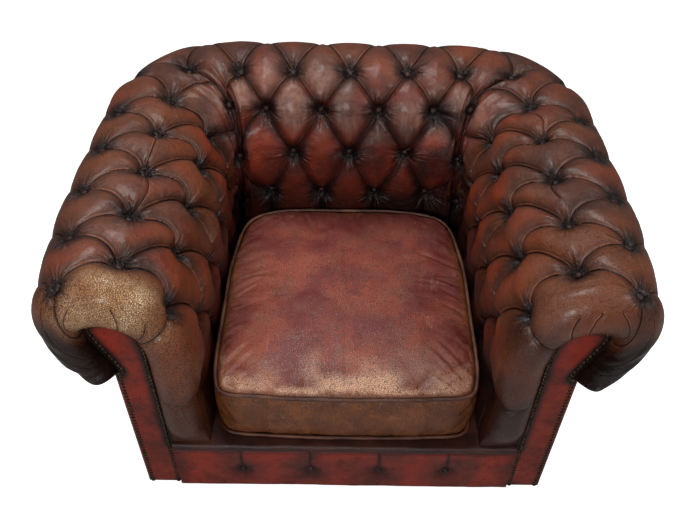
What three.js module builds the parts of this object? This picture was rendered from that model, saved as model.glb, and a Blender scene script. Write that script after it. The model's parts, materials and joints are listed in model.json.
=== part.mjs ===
// A deep buttoned leather club chair with rolled arms and a rolled back of one height.
// Millimetres, +Z up, the front faces -Y. While it is built, y = 0 is the plane of the arm facings.
import * as THREE from "three";

// Overall frame lines, as the outside leather runs
const HALF_WIDTH = 447; // middle of the chair to the outside arm panel
const DEPTH = 808.5; // arm facings to the outside back panel
const CORNER_RADIUS = 115; // outside back corners, seen from above
const BASE_BOTTOM = 57; // lowest edge of the covered frame above the floor
const DECK_TOP = 215.5; // seat platform above the floor
const GAP = 0.3; // between pieces that touch

// Section of the rolled arm. An inset is counted inwards from the outside panel, a drop from the arm's top.
const ARM_TOP = 716;
const SEAT_INSET = 158; // inner face of the arm beside the cushion
const FACE_INSET = 168; // inner face of the arm at its fullest
const ROLL_OVERHANG = 88; // how far the roll stands out past the panel
const ROLL_TOP_INSET = 20; // highest line of the roll
const ROLL_SIDE_DROP = 90; // the roll's outermost line
const ROLL_SIDE_HEIGHT = ARM_TOP - ROLL_SIDE_DROP;
const TUCK_DROP = 264; // where the roll meets the outside panel
const TUCK_HEIGHT = ARM_TOP - TUCK_DROP;
const SWELL_LENGTH = 300; // from the facings to the full swell
const BACK_RISE = 18; // the back's roll above the arms' roll
const BACK_LEAN = 14; // the back's inner face ahead of the arms' face
const BACK_FLAT = 200; // half of the stretch with the back's full rise and lean
const BACK_FADE = 400; // length over which they die out into the arms
const ARM_SWELL_FRONT = 20; // the arms' rolls stand out further than the back's, at the facings
const ARM_SWELL = 46; // and more so further back

// Inner plan line, which is tighter round the back corners
const INNER_INSET = 180;
const INNER_CORNER_RADIUS = 52;

// Facing of the arm's front end
const STRIP_WIDTH = 76;
const NOSE_OVERHANG = 33; // the scroll past the outside panel
const NOSE_TOP_DROP = 111; // top of the scroll below the arm's top
const NOSE_SHOULDER = 34; // the scroll's outermost line below its top
const NECK_RISE = 33; // the scroll's neck above the tuck
const NOSE_TOP = ARM_TOP - NOSE_TOP_DROP;
const NOSE_SIDE_HEIGHT = NOSE_TOP - NOSE_SHOULDER;
const NOSE_NECK_HEIGHT = TUCK_HEIGHT + NECK_RISE;
const NOSE_TUCK = 7; // inset of the scroll's edge at the tuck
const FACING_THICKNESS = 3;
const FACING_BOARD_THICKNESS = 22;
const BOARD_MARGIN = 9; // the board inside the leather's edge
const BULLNOSE = 50; // how far the padded rim stands ahead of the facing

// Buttoning
const BUTTON_PITCH = 136;
const FRONT_BUTTON_SETBACK = 12; // the first outer button behind the facing
const PIT_DEPTH = 22;
const PIT_REACH = 19;
const PLEAT_DEPTH = 12;
const PLEAT_REACH = 14;
const OUTER_TUFT = 0.45; // share of those depths past the last row of buttons
const COVER_THICKNESS = 40; // leather and the filling drawn down by its buttons
const FULL_TUFT_DEPTH = 90; // where the stuffing is thinner, the pits are shallower
const STEPS_PER_PITCH = 6;
const STEPS_PER_ROW = 3;

// Seat
const CUSHION_FRONT = 12;
const CUSHION_BACK_CLEARANCE = 14.5; // to the back's inner face at the seat
const CUSHION_SIDE_CLEARANCE = 9; // to the arms' inner faces at the seat
const CUSHION_BACK = DEPTH - SEAT_INSET - BACK_LEAN - CUSHION_BACK_CLEARANCE;
const CUSHION_HALF_WIDTH = HALF_WIDTH - SEAT_INSET - CUSHION_SIDE_CLEARANCE;
const CUSHION_SEAM_LIFT = 8.5; // the lower piping above the platform
const CUSHION_BOX = 135; // between the two pipings
const CUSHION_BOTTOM_PIPING = DECK_TOP + CUSHION_SEAM_LIFT;
const CUSHION_TOP_PIPING = CUSHION_BOTTOM_PIPING + CUSHION_BOX;
const CUSHION_CROWN = 26;
const CUSHION_SIDES = 56; // points round the outline
const CUSHION_EDGE = 14; // the box's rounding at both seams
const PIPING_RADIUS = 4;
const PIPING_SIDES = 6;

// Front border
const BORDER_LEAD = 10; // how far it stands ahead of the facings
const BORDER_THICKNESS = 18;
const BORDER_BUTTONS = 4;
const BORDER_BUTTON_PITCH = 151;
const BORDER_BUTTON_RISE = 62; // above the border's lower edge
const BORDER_BUTTON_HEIGHT = BASE_BOTTOM + BORDER_BUTTON_RISE;
const BORDER_PIT_REACH = 14;
const BORDER_PLEAT_REACH = 9;
const BORDER_TOP_ROUNDING = 10;
const BORDER_BOTTOM_ROUNDING = 8;
const BORDER_ROWS = 12; // height of one row of its faces
const BORDER_PIT_DEPTH = 8;
const BORDER_PLEAT_DEPTH = 3;
const LIP_HEIGHT = 14; // padded front edge of the platform
const LIP_RADIUS = 8;
const BUTTON_RADIUS = 8;
const BUTTON_DOME = 4;

// Frame and hidden work
const RAIL_THICKNESS = 25;
const RAIL_INSET = 13; // room for the back posts inside the rounded corners
const POST_SIZE = 36;
const RAIL_LIFT = 3; // the rails above the panels' lower edge
const RAIL_BOTTOM = BASE_BOTTOM + RAIL_LIFT;
const RAIL_HEIGHT = 90;
const RAIL_TOP = RAIL_BOTTOM + RAIL_HEIGHT;
const ARM_RAIL_HEIGHT = 30;
const ARM_RAIL_DROP = 156; // below the arm's top
const ARM_RAIL_TOP = ARM_TOP - ARM_RAIL_DROP;
const ARM_RAIL_WIDTH = 45;
const TACK_RAIL_HEIGHT = 30;
const TACK_RAIL_INSET = 86;
const TACK_RAIL_WIDTH = 40;
const PANEL_THICKNESS = 3;
const STRAPS = 6;
const STRAP_WIDTH = 50;
const STRAP_THICKNESS = 2;
const PLATFORM_LEATHER = 3;
const BLOCK_LENGTH = 70;
const FOOT_TOP_RADIUS = 27;
const FOOT_BUN_RADIUS = 33;
const FOOT_SIDES = 20;
const DUST_COVER_THICKNESS = 1.5;
const DUST_COVER_MARGIN = 20; // inside the panels, and round the feet
const NAIL_RADIUS = 4.5;
const NAIL_HEIGHT = 3;
const NAIL_INSET = 9;

const chair = new THREE.Group();

const leather = (colour, roughness) =>
  new THREE.MeshStandardMaterial({ color: colour, roughness, metalness: 0 });
const looks = {
  rollLeather: () => leather(0x5a2a1e, 0.42),
  backLeather: () => leather(0x5e1f18, 0.42),
  facingLeather: () => leather(0x6e1a14, 0.45),
  panelLeather: () => leather(0x4c1a15, 0.5),
  cushionLeather: () => leather(0x74372c, 0.5),
  pipingLeather: () => leather(0x8a5a45, 0.55),
  buttonLeather: () => leather(0x3c120f, 0.4),
  filling: () => leather(0xd9cfb8, 0.95),
  timber: () => leather(0xb58a5a, 0.7),
  footTimber: () => leather(0x3a2014, 0.45),
  webbing: () => leather(0x8c7a58, 0.9),
  dustCloth: () => leather(0x1c1c1e, 0.95),
  nails: () =>
    new THREE.MeshStandardMaterial({ color: 0x5b4424, roughness: 0.35, metalness: 0.9 }),
};

function add(name, geometry, material) {
  const mesh = new THREE.Mesh(geometry, material);
  mesh.name = name;
  chair.add(mesh);
  return mesh;
}

const clamp01 = (t) => Math.min(1, Math.max(0, t));
const smooth = (t) => clamp01(t) ** 2 * (3 - 2 * clamp01(t));
const mix = (a, b, t) => a + (b - a) * t;

// Plan of the horseshoe
// Half of a line with one rounded corner: its point and outward normal at a length from the back's middle.
function roundedLine(length, halfWidth, back, radius) {
  const straight = halfWidth - radius;
  const arc = (radius * Math.PI) / 2;
  if (length < straight) return { x: length, y: back, nx: 0, ny: 1 };
  if (length < straight + arc) {
    const turn = (length - straight) / radius;
    const nx = Math.sin(turn);
    const ny = Math.cos(turn);
    return { x: straight + radius * nx, y: back - radius + radius * ny, nx, ny };
  }
  return { x: halfWidth, y: back - radius - (length - straight - arc), nx: 1, ny: 0 };
}

const lineLength = (halfWidth, back, radius) =>
  halfWidth - radius + (radius * Math.PI) / 2 + back - radius;
const OUTER_LENGTH = lineLength(HALF_WIDTH, DEPTH, CORNER_RADIUS);
const INNER_LENGTH = lineLength(
  HALF_WIDTH - INNER_INSET,
  DEPTH - INNER_INSET,
  INNER_CORNER_RADIUS,
);
const CORNER_MIDDLE = HALF_WIDTH - CORNER_RADIUS * (1 - Math.PI / 4);
const SQUEEZE_START = HALF_WIDTH - INNER_INSET - 2 * INNER_CORNER_RADIUS;
const CORNER_SPREAD = 1.4; // corner radii over which the arm's swell begins
const SQUEEZE_END = OUTER_LENGTH - (DEPTH - INNER_INSET - 2.5 * INNER_CORNER_RADIUS);

// Plan point at a signed length along the outside line and an inset towards the seat.
function planPoint(length, inset, swellShare) {
  const side = Math.sign(length) || 1;
  const along = Math.abs(length);
  const outer = roundedLine(along, HALF_WIDTH, DEPTH, CORNER_RADIUS);
  const squeeze = smooth((along - SQUEEZE_START) / (SQUEEZE_END - SQUEEZE_START));
  const inner = roundedLine(
    along - (OUTER_LENGTH - INNER_LENGTH) * squeeze,
    HALF_WIDTH - INNER_INSET,
    DEPTH - INNER_INSET,
    INNER_CORNER_RADIUS,
  );
  const pull = (Math.max(inset, 0) / INNER_INSET) ** 1.5;
  const ramp = Math.sin((Math.PI / 2) * clamp01((OUTER_LENGTH - along) / SWELL_LENGTH));
  const corner = smooth((along - CORNER_MIDDLE) / CORNER_RADIUS / CORNER_SPREAD);
  const out = mix(ARM_SWELL_FRONT, ARM_SWELL, ramp) * corner * swellShare - inset;
  const x = outer.x + outer.nx * out + pull * (inner.x - outer.x + outer.nx * INNER_INSET);
  const y = outer.y + outer.ny * out + pull * (inner.y - outer.y + outer.ny * INNER_INSET);
  return new THREE.Vector2(side * x, y);
}

// Share of the back's section, as against the arms', at a length along the line.
const backShare = (length) => 1 - smooth((Math.abs(length) - BACK_FLAT) / BACK_FADE);

// Rows of buttons: 0 is the lowest on the inner face, 4 the last one on the outer side of the roll.
const FIRST_ROW = 0;
const LAST_ROW = 4;
const SECTION_START = -2; // the cover's lower edge at the seat
const SECTION_END = 6; // the tuck under the roll
const SWELL_ROW = 1.2; // from here on the arms' rolls stand out further
const LEAN_ROWS = 5; // rows over which the back's face leans ahead

// Section of the crowns: insets and heights by row number
function crownCurve() {
  const points = [
    [SEAT_INSET, DECK_TOP + GAP],
    [SEAT_INSET, mix(DECK_TOP, ARM_TOP, 0.29)],
    [FACE_INSET, mix(DECK_TOP, ARM_TOP, 0.49)],
    [FACE_INSET - 2, mix(DECK_TOP, ARM_TOP, 0.65)],
    [FACE_INSET - 22, mix(DECK_TOP, ARM_TOP, 0.85)],
    [ROLL_TOP_INSET + 70, ARM_TOP - 18],
    [ROLL_TOP_INSET, ARM_TOP],
    [-ROLL_OVERHANG + 31, ARM_TOP - 21],
    [-ROLL_OVERHANG, ROLL_SIDE_HEIGHT],
    [-ROLL_OVERHANG + 15, mix(TUCK_HEIGHT, ROLL_SIDE_HEIGHT, 0.5)],
    [-ROLL_OVERHANG + 48, mix(TUCK_HEIGHT, ROLL_SIDE_HEIGHT, 0.18)],
    [0, TUCK_HEIGHT],
  ];
  return new THREE.SplineCurve(points.map(([inset, z]) => new THREE.Vector2(inset, z)));
}

// Outline of the facing, from the seat up the inner edge, round the scroll and down to the tuck.
function facingCurve() {
  const points = [
    [STRIP_WIDTH, DECK_TOP + GAP],
    [STRIP_WIDTH, mix(DECK_TOP, NOSE_TOP, 0.3)],
    [STRIP_WIDTH, mix(DECK_TOP, NOSE_TOP, 0.6)],
    [STRIP_WIDTH - 2, NOSE_TOP - 70],
    [STRIP_WIDTH - 20, NOSE_TOP - 21],
    [STRIP_WIDTH - 58, NOSE_TOP],
    [-NOSE_OVERHANG + 12, NOSE_TOP - 10],
    [-NOSE_OVERHANG, NOSE_SIDE_HEIGHT],
    [-NOSE_OVERHANG + 18, mix(NOSE_NECK_HEIGHT, NOSE_SIDE_HEIGHT, 0.4)],
    [NOSE_TUCK, mix(TUCK_HEIGHT, NOSE_NECK_HEIGHT, 0.4)],
    [NOSE_TUCK, TUCK_HEIGHT + 2],
  ];
  return new THREE.SplineCurve(points.map(([inset, z]) => new THREE.Vector2(inset, z)));
}

const CROWN = crownCurve();
const FACING = facingCurve();
// Row numbers and the shares of the two curves' lengths at which they lie
const ROW_STOPS = [
  [SECTION_START, 0, 0],
  [0, 0.205, 0.33],
  [1, 0.315, 0.47],
  [2, 0.435, 0.585],
  [3, 0.565, 0.69],
  [4, 0.69, 0.8],
  [SECTION_END, 1, 1],
];

function atRow(curve, column, row) {
  const above = ROW_STOPS.findIndex((stop) => stop[0] > row);
  const next = above < 0 ? ROW_STOPS.length - 1 : Math.max(above, 1);
  const [low, high] = [ROW_STOPS[next - 1], ROW_STOPS[next]];
  const share = mix(low[column], high[column], (row - low[0]) / (high[0] - low[0]));
  return curve.getPointAt(clamp01(share));
}

// Section point between the crowns (layer 0) and the line of the facing (layer 1).
function sectionPoint(length, row, layer) {
  const crown = atRow(CROWN, 1, row);
  const facing = atRow(FACING, 2, row);
  const share = backShare(length);
  const rise = smooth((crown.y - DECK_TOP) / (ARM_TOP - DECK_TOP)) * BACK_RISE * share;
  const lean = Math.sin(Math.PI * clamp01((row - SECTION_START) / LEAN_ROWS)) * BACK_LEAN * share;
  crown.x += lean;
  crown.y += rise;
  facing.y += rise;
  return crown.lerp(facing, layer);
}

const sectionDepth = (length, row) =>
  sectionPoint(length, row, 0).distanceTo(sectionPoint(length, row, 1));
const coverLayer = (length, row) =>
  Math.min(COVER_THICKNESS / sectionDepth(length, row), 0.45);

// Place of a section point along the horseshoe
function spacePoint(length, row, layer) {
  const section = sectionPoint(length, row, layer);
  const swell = Math.sin(Math.PI * clamp01((row - SWELL_ROW) / (SECTION_END - SWELL_ROW)));
  const plan = planPoint(length, section.x, swell * (1 - layer));
  return new THREE.Vector3(plan.x, plan.y, section.y);
}

// Where a grid place lies on the surface: each row's buttons drift along the arms and up the section.
// By row: at the start, for the five rows of buttons, and at the end.
const ARM_DRIFT = [-0.3, -0.3, -0.18, -0.12, 0.23, 0.33, 0.33];
const ARM_RISE = [0, -0.2, -0.1, -0.06, -0.09, -0.18, 0];
const BACK_RISE_ROWS = [0, -0.25, 0, 0, -0.09, 0.24, 0];
const CORNER_RISE = [0, -0.4, 0, 0.24, 0.26, 0.1, 0];

function byRow(values, row) {
  const stops = ROW_STOPS.map((stop) => stop[0]);
  const next = Math.max(1, stops.findIndex((stop) => stop >= row));
  const [low, high] = [stops[next - 1], stops[next]];
  return mix(values[next - 1], values[next], smooth((row - low) / (high - low)));
}

function laidPlace(index, row) {
  const away = Math.abs(index);
  const arm = smooth((away - CORNER_BUTTON - 0.2) / 1.2);
  const corner = smooth(1 - Math.abs(away - CORNER_BUTTON) / 0.9);
  const back = (1 - arm) * (1 - corner);
  const front = smooth((away - LAST_BUTTON + 1.5) / 1.5);
  const rim = 1 - clamp01(away - FRONT_INDEX);
  const drift = byRow(ARM_DRIFT, row) * arm * (1 - 0.4 * front);
  const rise =
    byRow(ARM_RISE, row) * arm + byRow(BACK_RISE_ROWS, row) * back + byRow(CORNER_RISE, row) * corner;
  return [index + Math.sign(index) * drift * rim, row + rise * rim];
}

const sectionLayer = (index, row, layer) => {
  const [laidIndex, laidRow] = laidPlace(index, row);
  const length = laidIndex * PITCH_FIT;
  return spacePoint(length, laidRow, layer(length, laidRow));
};

// The padded rim: from the arm's section, forward and back to the facing's edge.
function rimPoint(side, row, turn) {
  const start = spacePoint(side * OUTER_LENGTH, row, 0);
  const end = spacePoint(side * OUTER_LENGTH, row, 1);
  end.y = FACING_THICKNESS;
  const fade = smooth((row - SECTION_START + 0.15) / 1.3);
  const reach = BULLNOSE * fade * smooth(start.distanceTo(end) / BULLNOSE);
  const point = start.clone().lerp(end, (1 - Math.cos(turn)) / 2);
  point.y -= reach * Math.sin(turn);
  return point;
}

// Button grid
// Outer buttons sit at half pitches from the back's middle. The grid is even along the outside line.
const LAST_BUTTON = Math.round((OUTER_LENGTH - FRONT_BUTTON_SETBACK) / BUTTON_PITCH - 0.5) + 0.5;
const PITCH_FIT = (OUTER_LENGTH - FRONT_BUTTON_SETBACK) / LAST_BUTTON;
const FRONT_INDEX = OUTER_LENGTH / PITCH_FIT;
const CORNER_BUTTON = 3;

// Buttons that share one place in the tight corners: how far each row's neighbours are drawn in.
const CORNER_REACH = [0.5, 1, 0.5, 0, 0];

function buttonIndex(row, index) {
  const away = Math.abs(Math.abs(index) - CORNER_BUTTON);
  return away <= CORNER_REACH[row] ? Math.sign(index) * CORNER_BUTTON : index;
}

// Pleats run between neighbouring rows, and straight on past the first and last row and over the rim.
function pleatLines() {
  const lines = [];
  const put = (a, b) => lines.push([a, b]);
  for (let row = FIRST_ROW; row <= LAST_ROW; row += 1) {
    const shift = row % 2 === 0 ? 0.5 : 0;
    for (let index = -LAST_BUTTON - 0.5 + shift; index <= LAST_BUTTON; index += 1) {
      if (Math.abs(index) > LAST_BUTTON) continue;
      const here = [buttonIndex(row, index), row];
      for (const step of [-0.5, 0.5]) {
        if (row === LAST_ROW || Math.abs(index + step) > LAST_BUTTON) continue;
        put(here, [buttonIndex(row + 1, index + step), row + 1]);
      }
      if (row === FIRST_ROW) put(here, [here[0], SECTION_START]);
      if (row === LAST_ROW) put(here, [here[0], SECTION_END]);
      const overRim = Math.sign(index) * (LAST_BUTTON + 2);
      if (Math.abs(index) === LAST_BUTTON) put(here, [overRim, row]);
    }
  }
  for (const corner of [-CORNER_BUTTON, CORNER_BUTTON]) put([corner, LAST_ROW - 1], [corner, FIRST_ROW]);
  return lines;
}
const PLEATS = pleatLines();

function buttonPlaces() {
  const places = new Map();
  for (const line of PLEATS)
    for (const [index, row] of line)
      if (row >= FIRST_ROW && row <= LAST_ROW && Math.abs(index) <= LAST_BUTTON)
        places.set(index + "," + row, [index, row]);
  return [...places.values()];
}
const BUTTONS = buttonPlaces();

// How deep the cover is drawn in at a grid place, given the local lengths of one index and one row.
function tuftDepth(index, row, indexLength, rowLength) {
  let pit = Infinity;
  for (const [i, r] of BUTTONS)
    pit = Math.min(pit, Math.hypot((i - index) * indexLength, (r - row) * rowLength));
  let pleat = Infinity;
  for (const [[ia, ra], [ib, rb]] of PLEATS) {
    const ax = (ia - index) * indexLength;
    const ay = (ra - row) * rowLength;
    const dx = (ib - ia) * indexLength;
    const dy = (rb - ra) * rowLength;
    const t = clamp01(-(ax * dx + ay * dy) / (dx * dx + dy * dy));
    pleat = Math.min(pleat, Math.hypot(ax + t * dx, ay + t * dy));
  }
  const fade = smooth((SECTION_END - row) / 1.4) * smooth((row - SECTION_START + 0.2) / 1.2);
  return (
    fade * (PIT_DEPTH * Math.exp(-pit / PIT_REACH) + PLEAT_DEPTH * Math.exp(-pleat / PLEAT_REACH))
  );
}

// Base surface of the cover at a grid index, which runs on over the rim past the facing plane.
const RIM_STEPS = 6;

function coverPoint(index, row) {
  const [laidIndex, laidRow] = laidPlace(index, row);
  const over = Math.abs(laidIndex) - FRONT_INDEX;
  if (over <= 0) return spacePoint(laidIndex * PITCH_FIT, laidRow, 0);
  return rimPoint(Math.sign(index), laidRow, Math.min(over, 1) * Math.PI);
}

function tuftedPoint(index, row) {
  const e = 0.02;
  const here = coverPoint(index, row);
  const ahead = Math.abs(index) > FRONT_INDEX + 1 - e ? index : index + e * Math.sign(index || 1);
  const behind = index - e * Math.sign(index || 1);
  const alongIndex = coverPoint(ahead, row).sub(coverPoint(behind, row));
  alongIndex.divideScalar(Math.abs(ahead - behind) * Math.sign(index || 1));
  const low = Math.max(row - e, SECTION_START);
  const high = Math.min(row + e, SECTION_END);
  const alongRow = coverPoint(index, high).sub(coverPoint(index, low)).divideScalar(high - low);
  const outward = alongIndex.clone().cross(alongRow).normalize();
  const rim = Math.max(0, Math.abs(index) - FRONT_INDEX);
  const depth = tuftDepth(index, row, Math.max(alongIndex.length(), PIT_REACH), alongRow.length());
  const narrow = Math.min(1, sectionDepth(index * PITCH_FIT, row) / FULL_TUFT_DEPTH);
  const outer = mix(1, OUTER_TUFT, smooth((row - LAST_ROW + 0.7) / 0.7));
  return here.addScaledVector(outward, -depth * narrow * outer * (1 - smooth(rim)));
}

// Solids from grids
// Two point rows of different counts are joined like a zip, by their share of the way.
function zip(faces, a, b, shareA, shareB, flip) {
  let i = 0;
  let j = 0;
  while (i < a.length - 1 || j < b.length - 1) {
    const takeA = j >= b.length - 1 || (i < a.length - 1 && shareA[i + 1] <= shareB[j + 1]);
    const face = takeA ? [a[i], a[i + 1], b[j]] : [a[i], b[j + 1], b[j]];
    faces.push(flip ? face.reverse() : face);
    if (takeA) i += 1;
    else j += 1;
  }
}

// A closed shell from an outer grid and an inner grid; each grid is a list of columns of points.
function shell(outer, inner) {
  const vertices = [];
  const faces = [];
  const numberOf = (grid) =>
    grid.points.map((column) =>
      column.map((p) => {
        vertices.push(p.x, p.y, p.z);
        return vertices.length / 3 - 1;
      }),
    );
  const skin = (ids, flip) => {
    for (let i = 0; i < ids.length - 1; i += 1)
      for (let j = 0; j < ids[i].length - 1; j += 1) {
        const [a, b, c, d] = [ids[i][j], ids[i + 1][j], ids[i + 1][j + 1], ids[i][j + 1]];
        const pair = (i + j) % 2 === 0 ? [[a, b, c], [a, c, d]] : [[a, b, d], [b, c, d]];
        for (const face of pair) faces.push(flip ? face.reverse() : face);
      }
  };
  const out = numberOf(outer);
  const inn = numberOf(inner);
  skin(out, false);
  skin(inn, true);
  const edge = (ids, j) => ids.map((column) => column.at(j));
  zip(faces, edge(out, 0), edge(inn, 0), outer.along, inner.along, true);
  zip(faces, edge(out, -1), edge(inn, -1), outer.along, inner.along, false);
  zip(faces, out[0], inn[0], outer.across, inner.across, false);
  zip(faces, out.at(-1), inn.at(-1), outer.across, inner.across, true);
  return facesOutward(vertices, faces);
}

function facesOutward(vertices, faces) {
  const at = (k) => new THREE.Vector3(vertices[3 * k], vertices[3 * k + 1], vertices[3 * k + 2]);
  const volume = faces.reduce((sum, [a, b, c]) => sum + at(a).dot(at(b).cross(at(c))), 0);
  const index = (volume < 0 ? faces.map(([a, b, c]) => [a, c, b]) : faces).flat();
  const geometry = new THREE.BufferGeometry();
  geometry.setAttribute("position", new THREE.Float32BufferAttribute(vertices, 3));
  geometry.setIndex(index);
  geometry.computeVertexNormals();
  return geometry;
}

const range = (from, to, step) => {
  const count = Math.max(1, Math.round((to - from) / step));
  return Array.from({ length: count + 1 }, (_, k) => mix(from, to, k / count));
};

const ROWS_FINE = range(SECTION_START, SECTION_END, 1 / STEPS_PER_ROW);
const ROWS_COARSE = range(SECTION_START, SECTION_END, 2 / STEPS_PER_ROW);

function grid(columns, rows, place) {
  return {
    points: columns.map((column) => rows.map((row) => place(column, row))),
    along: columns,
    across: rows,
  };
}

// Upholstery of the horseshoe, in three covers that meet in the corner pleats
const SPLIT = CORNER_BUTTON;
const SPLIT_GAP = GAP / 2 / PITCH_FIT; // each cover stops this short of the corner

function innerCoverPoint(index, row) {
  const point = sectionLayer(index, row, coverLayer);
  if (Math.abs(index) > FRONT_INDEX - 1e-6) point.y = FACING_THICKNESS;
  return point;
}

function armCover(side) {
  const body = range(SPLIT + SPLIT_GAP, LAST_BUTTON, 1 / STEPS_PER_PITCH);
  const rim = range(FRONT_INDEX, FRONT_INDEX + 1, 1 / RIM_STEPS);
  const inner = range(SPLIT + SPLIT_GAP, FRONT_INDEX, 0.5);
  return shell(
    grid([...body, ...rim], ROWS_FINE, (i, row) => tuftedPoint(side * i, row)),
    grid(inner, ROWS_COARSE, (i, row) => innerCoverPoint(side * i, row)),
  );
}

function backCover() {
  const edge = SPLIT - SPLIT_GAP;
  return shell(
    grid(range(-edge, edge, 1 / STEPS_PER_PITCH), ROWS_FINE, tuftedPoint),
    grid(range(-edge, edge, 0.5), ROWS_COARSE, innerCoverPoint),
  );
}

// First stuffing between the buttoned cover and the timber
function padPoint(index, row, outside) {
  const gap = (length, laidRow) => (GAP + 0.1) / sectionDepth(length, laidRow);
  const layer = outside
    ? (length, laidRow) => coverLayer(length, laidRow) + gap(length, laidRow)
    : (length, laidRow) => 1 - gap(length, laidRow);
  const point = sectionLayer(index, row, layer);
  if (Math.abs(index) > FRONT_INDEX - 1e-6) point.y = FACING_THICKNESS + GAP;
  return point;
}

function pad(from, to, side = 1) {
  const columns = range(from, to, 0.5);
  return shell(
    grid(columns, ROWS_COARSE, (i, row) => padPoint(side * i, row, true)),
    grid(columns, ROWS_COARSE, (i, row) => padPoint(side * i, row, false)),
  );
}

function addHorseshoe() {
  const inside = SPLIT - SPLIT_GAP;
  const outside = SPLIT + SPLIT_GAP;
  add("back_buttoned_cover", backCover(), looks.backLeather());
  add("back_stuffing", pad(-inside, inside), looks.filling());
  for (const [name, side] of [["left", -1], ["right", 1]]) {
    add("arm_buttoned_cover_" + name, armCover(side), looks.rollLeather());
    add("arm_stuffing_" + name, pad(outside, FRONT_INDEX, side), looks.filling());
  }
}

// Facings
// Outline of a facing in its plane, as insets and heights, drawn in by a margin.
function facingOutline(margin, bottom) {
  const upper = ROWS_FINE.map((row) => atRow(FACING, 2, row));
  const points = [
    new THREE.Vector2(STRIP_WIDTH, bottom),
    ...upper,
    new THREE.Vector2(0, TUCK_HEIGHT - GAP),
    new THREE.Vector2(0, bottom),
  ];
  return insetPolygon(points, margin);
}

// Moves each edge of a clockwise polygon in by a margin, by way of its corner normals.
function insetPolygon(points, margin) {
  const sign = Math.sign(THREE.ShapeUtils.area(points));
  return points.map((p, k) => {
    const before = points.at(k - 1);
    const after = points[(k + 1) % points.length];
    const a = p.clone().sub(before).normalize();
    const b = after.clone().sub(p).normalize();
    const na = new THREE.Vector2(-a.y, a.x);
    const nb = new THREE.Vector2(-b.y, b.x);
    const corner = na.clone().add(nb).normalize();
    const reach = margin / Math.max(corner.dot(na), 0.5);
    return p.clone().addScaledVector(corner, sign * reach);
  });
}

// A plate in a facing's plane, from a front y over a thickness
function facingPlate(side, outline, front, thickness) {
  const shape = new THREE.Shape(
    outline.map((p) => new THREE.Vector2(side * (HALF_WIDTH - p.x), p.y)),
  );
  const plate = new THREE.ExtrudeGeometry(shape, { depth: thickness, bevelEnabled: false });
  plate.rotateX(Math.PI / 2);
  plate.translate(0, front + thickness, 0);
  return plate;
}

// The close row of nails along both edges of a facing, as one low half-round bead
function nailRow(side) {
  const path = facingOutline(NAIL_INSET, BASE_BOTTOM);
  path[0].y = BASE_BOTTOM + NAIL_RADIUS + 1;
  path.at(-1).y = BASE_BOTTOM + NAIL_RADIUS + 1;
  const section = [[-1, 0], [-0.7, 0.7], [0, 1], [0.7, 0.7], [1, 0]];
  const rings = path.map((p, k) => {
    const before = path[Math.max(k - 1, 0)];
    const after = path[Math.min(k + 1, path.length - 1)];
    const along = after.clone().sub(before).normalize();
    return section.map(([across, up]) => {
      const x = p.x - along.y * across * NAIL_RADIUS;
      const z = p.y + along.x * across * NAIL_RADIUS;
      return new THREE.Vector3(side * (HALF_WIDTH - x), -GAP - up * NAIL_HEIGHT, z);
    });
  });
  return lofted(rings);
}

// A solid through rings of points, with flat ends, or closed on itself
function lofted(rings, closed = false) {
  const vertices = rings.flat().flatMap((p) => [p.x, p.y, p.z]);
  const n = rings[0].length;
  const faces = [];
  const last = closed ? rings.length : rings.length - 1;
  for (let k = 0; k < last; k += 1)
    for (let j = 0; j < n; j += 1) {
      const here = k * n;
      const next = ((k + 1) % rings.length) * n;
      const turn = (j + 1) % n;
      faces.push([here + j, next + j, here + turn], [here + turn, next + j, next + turn]);
    }
  if (!closed)
    for (let j = 1; j < n - 1; j += 1) {
      const end = (rings.length - 1) * n;
      faces.push([0, j, j + 1], [end, end + j + 1, end + j]);
    }
  return facesOutward(vertices, faces);
}

function addFacings() {
  for (const [name, side] of [["left", -1], ["right", 1]]) {
    const leatherOutline = facingOutline(GAP, BASE_BOTTOM);
    const boardOutline = facingOutline(BOARD_MARGIN, RAIL_BOTTOM);
    add(
      "facing_leather_" + name,
      facingPlate(side, leatherOutline, 0, FACING_THICKNESS),
      looks.facingLeather(),
    );
    add(
      "facing_board_" + name,
      facingPlate(side, boardOutline, FACING_THICKNESS + GAP, FACING_BOARD_THICKNESS),
      looks.timber(),
    );
    add("facing_nail_row_" + name, nailRow(side), looks.nails());
  }
}

// Outside panels, bent round the back corners
// A band along the horseshoe between two insets and two heights
function band(lengths, insets, heights) {
  const rings = lengths.map((length) => {
    const [outer, inner] = insets.map((inset) => flatPlan(length, inset));
    return [
      new THREE.Vector3(outer.x, outer.y, heights[0]),
      new THREE.Vector3(inner.x, inner.y, heights[0]),
      new THREE.Vector3(inner.x, inner.y, heights[1]),
      new THREE.Vector3(outer.x, outer.y, heights[1]),
    ];
  });
  return lofted(rings);
}

// Plan point of the straight-sided frame, without the bow of the roll
function flatPlan(length, inset) {
  const { x, y, nx, ny } = roundedLine(Math.abs(length), HALF_WIDTH, DEPTH, CORNER_RADIUS);
  return new THREE.Vector2((Math.sign(length) || 1) * (x - nx * inset), y - ny * inset);
}

const CORNER_START = HALF_WIDTH - CORNER_RADIUS;
const CORNER_END = CORNER_START + (CORNER_RADIUS * Math.PI) / 2;
const CORNER_STEP = CORNER_RADIUS / 8;

function cornerLengths(side) {
  return range(CORNER_START, CORNER_END, CORNER_STEP).map((length) => side * length);
}

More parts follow.
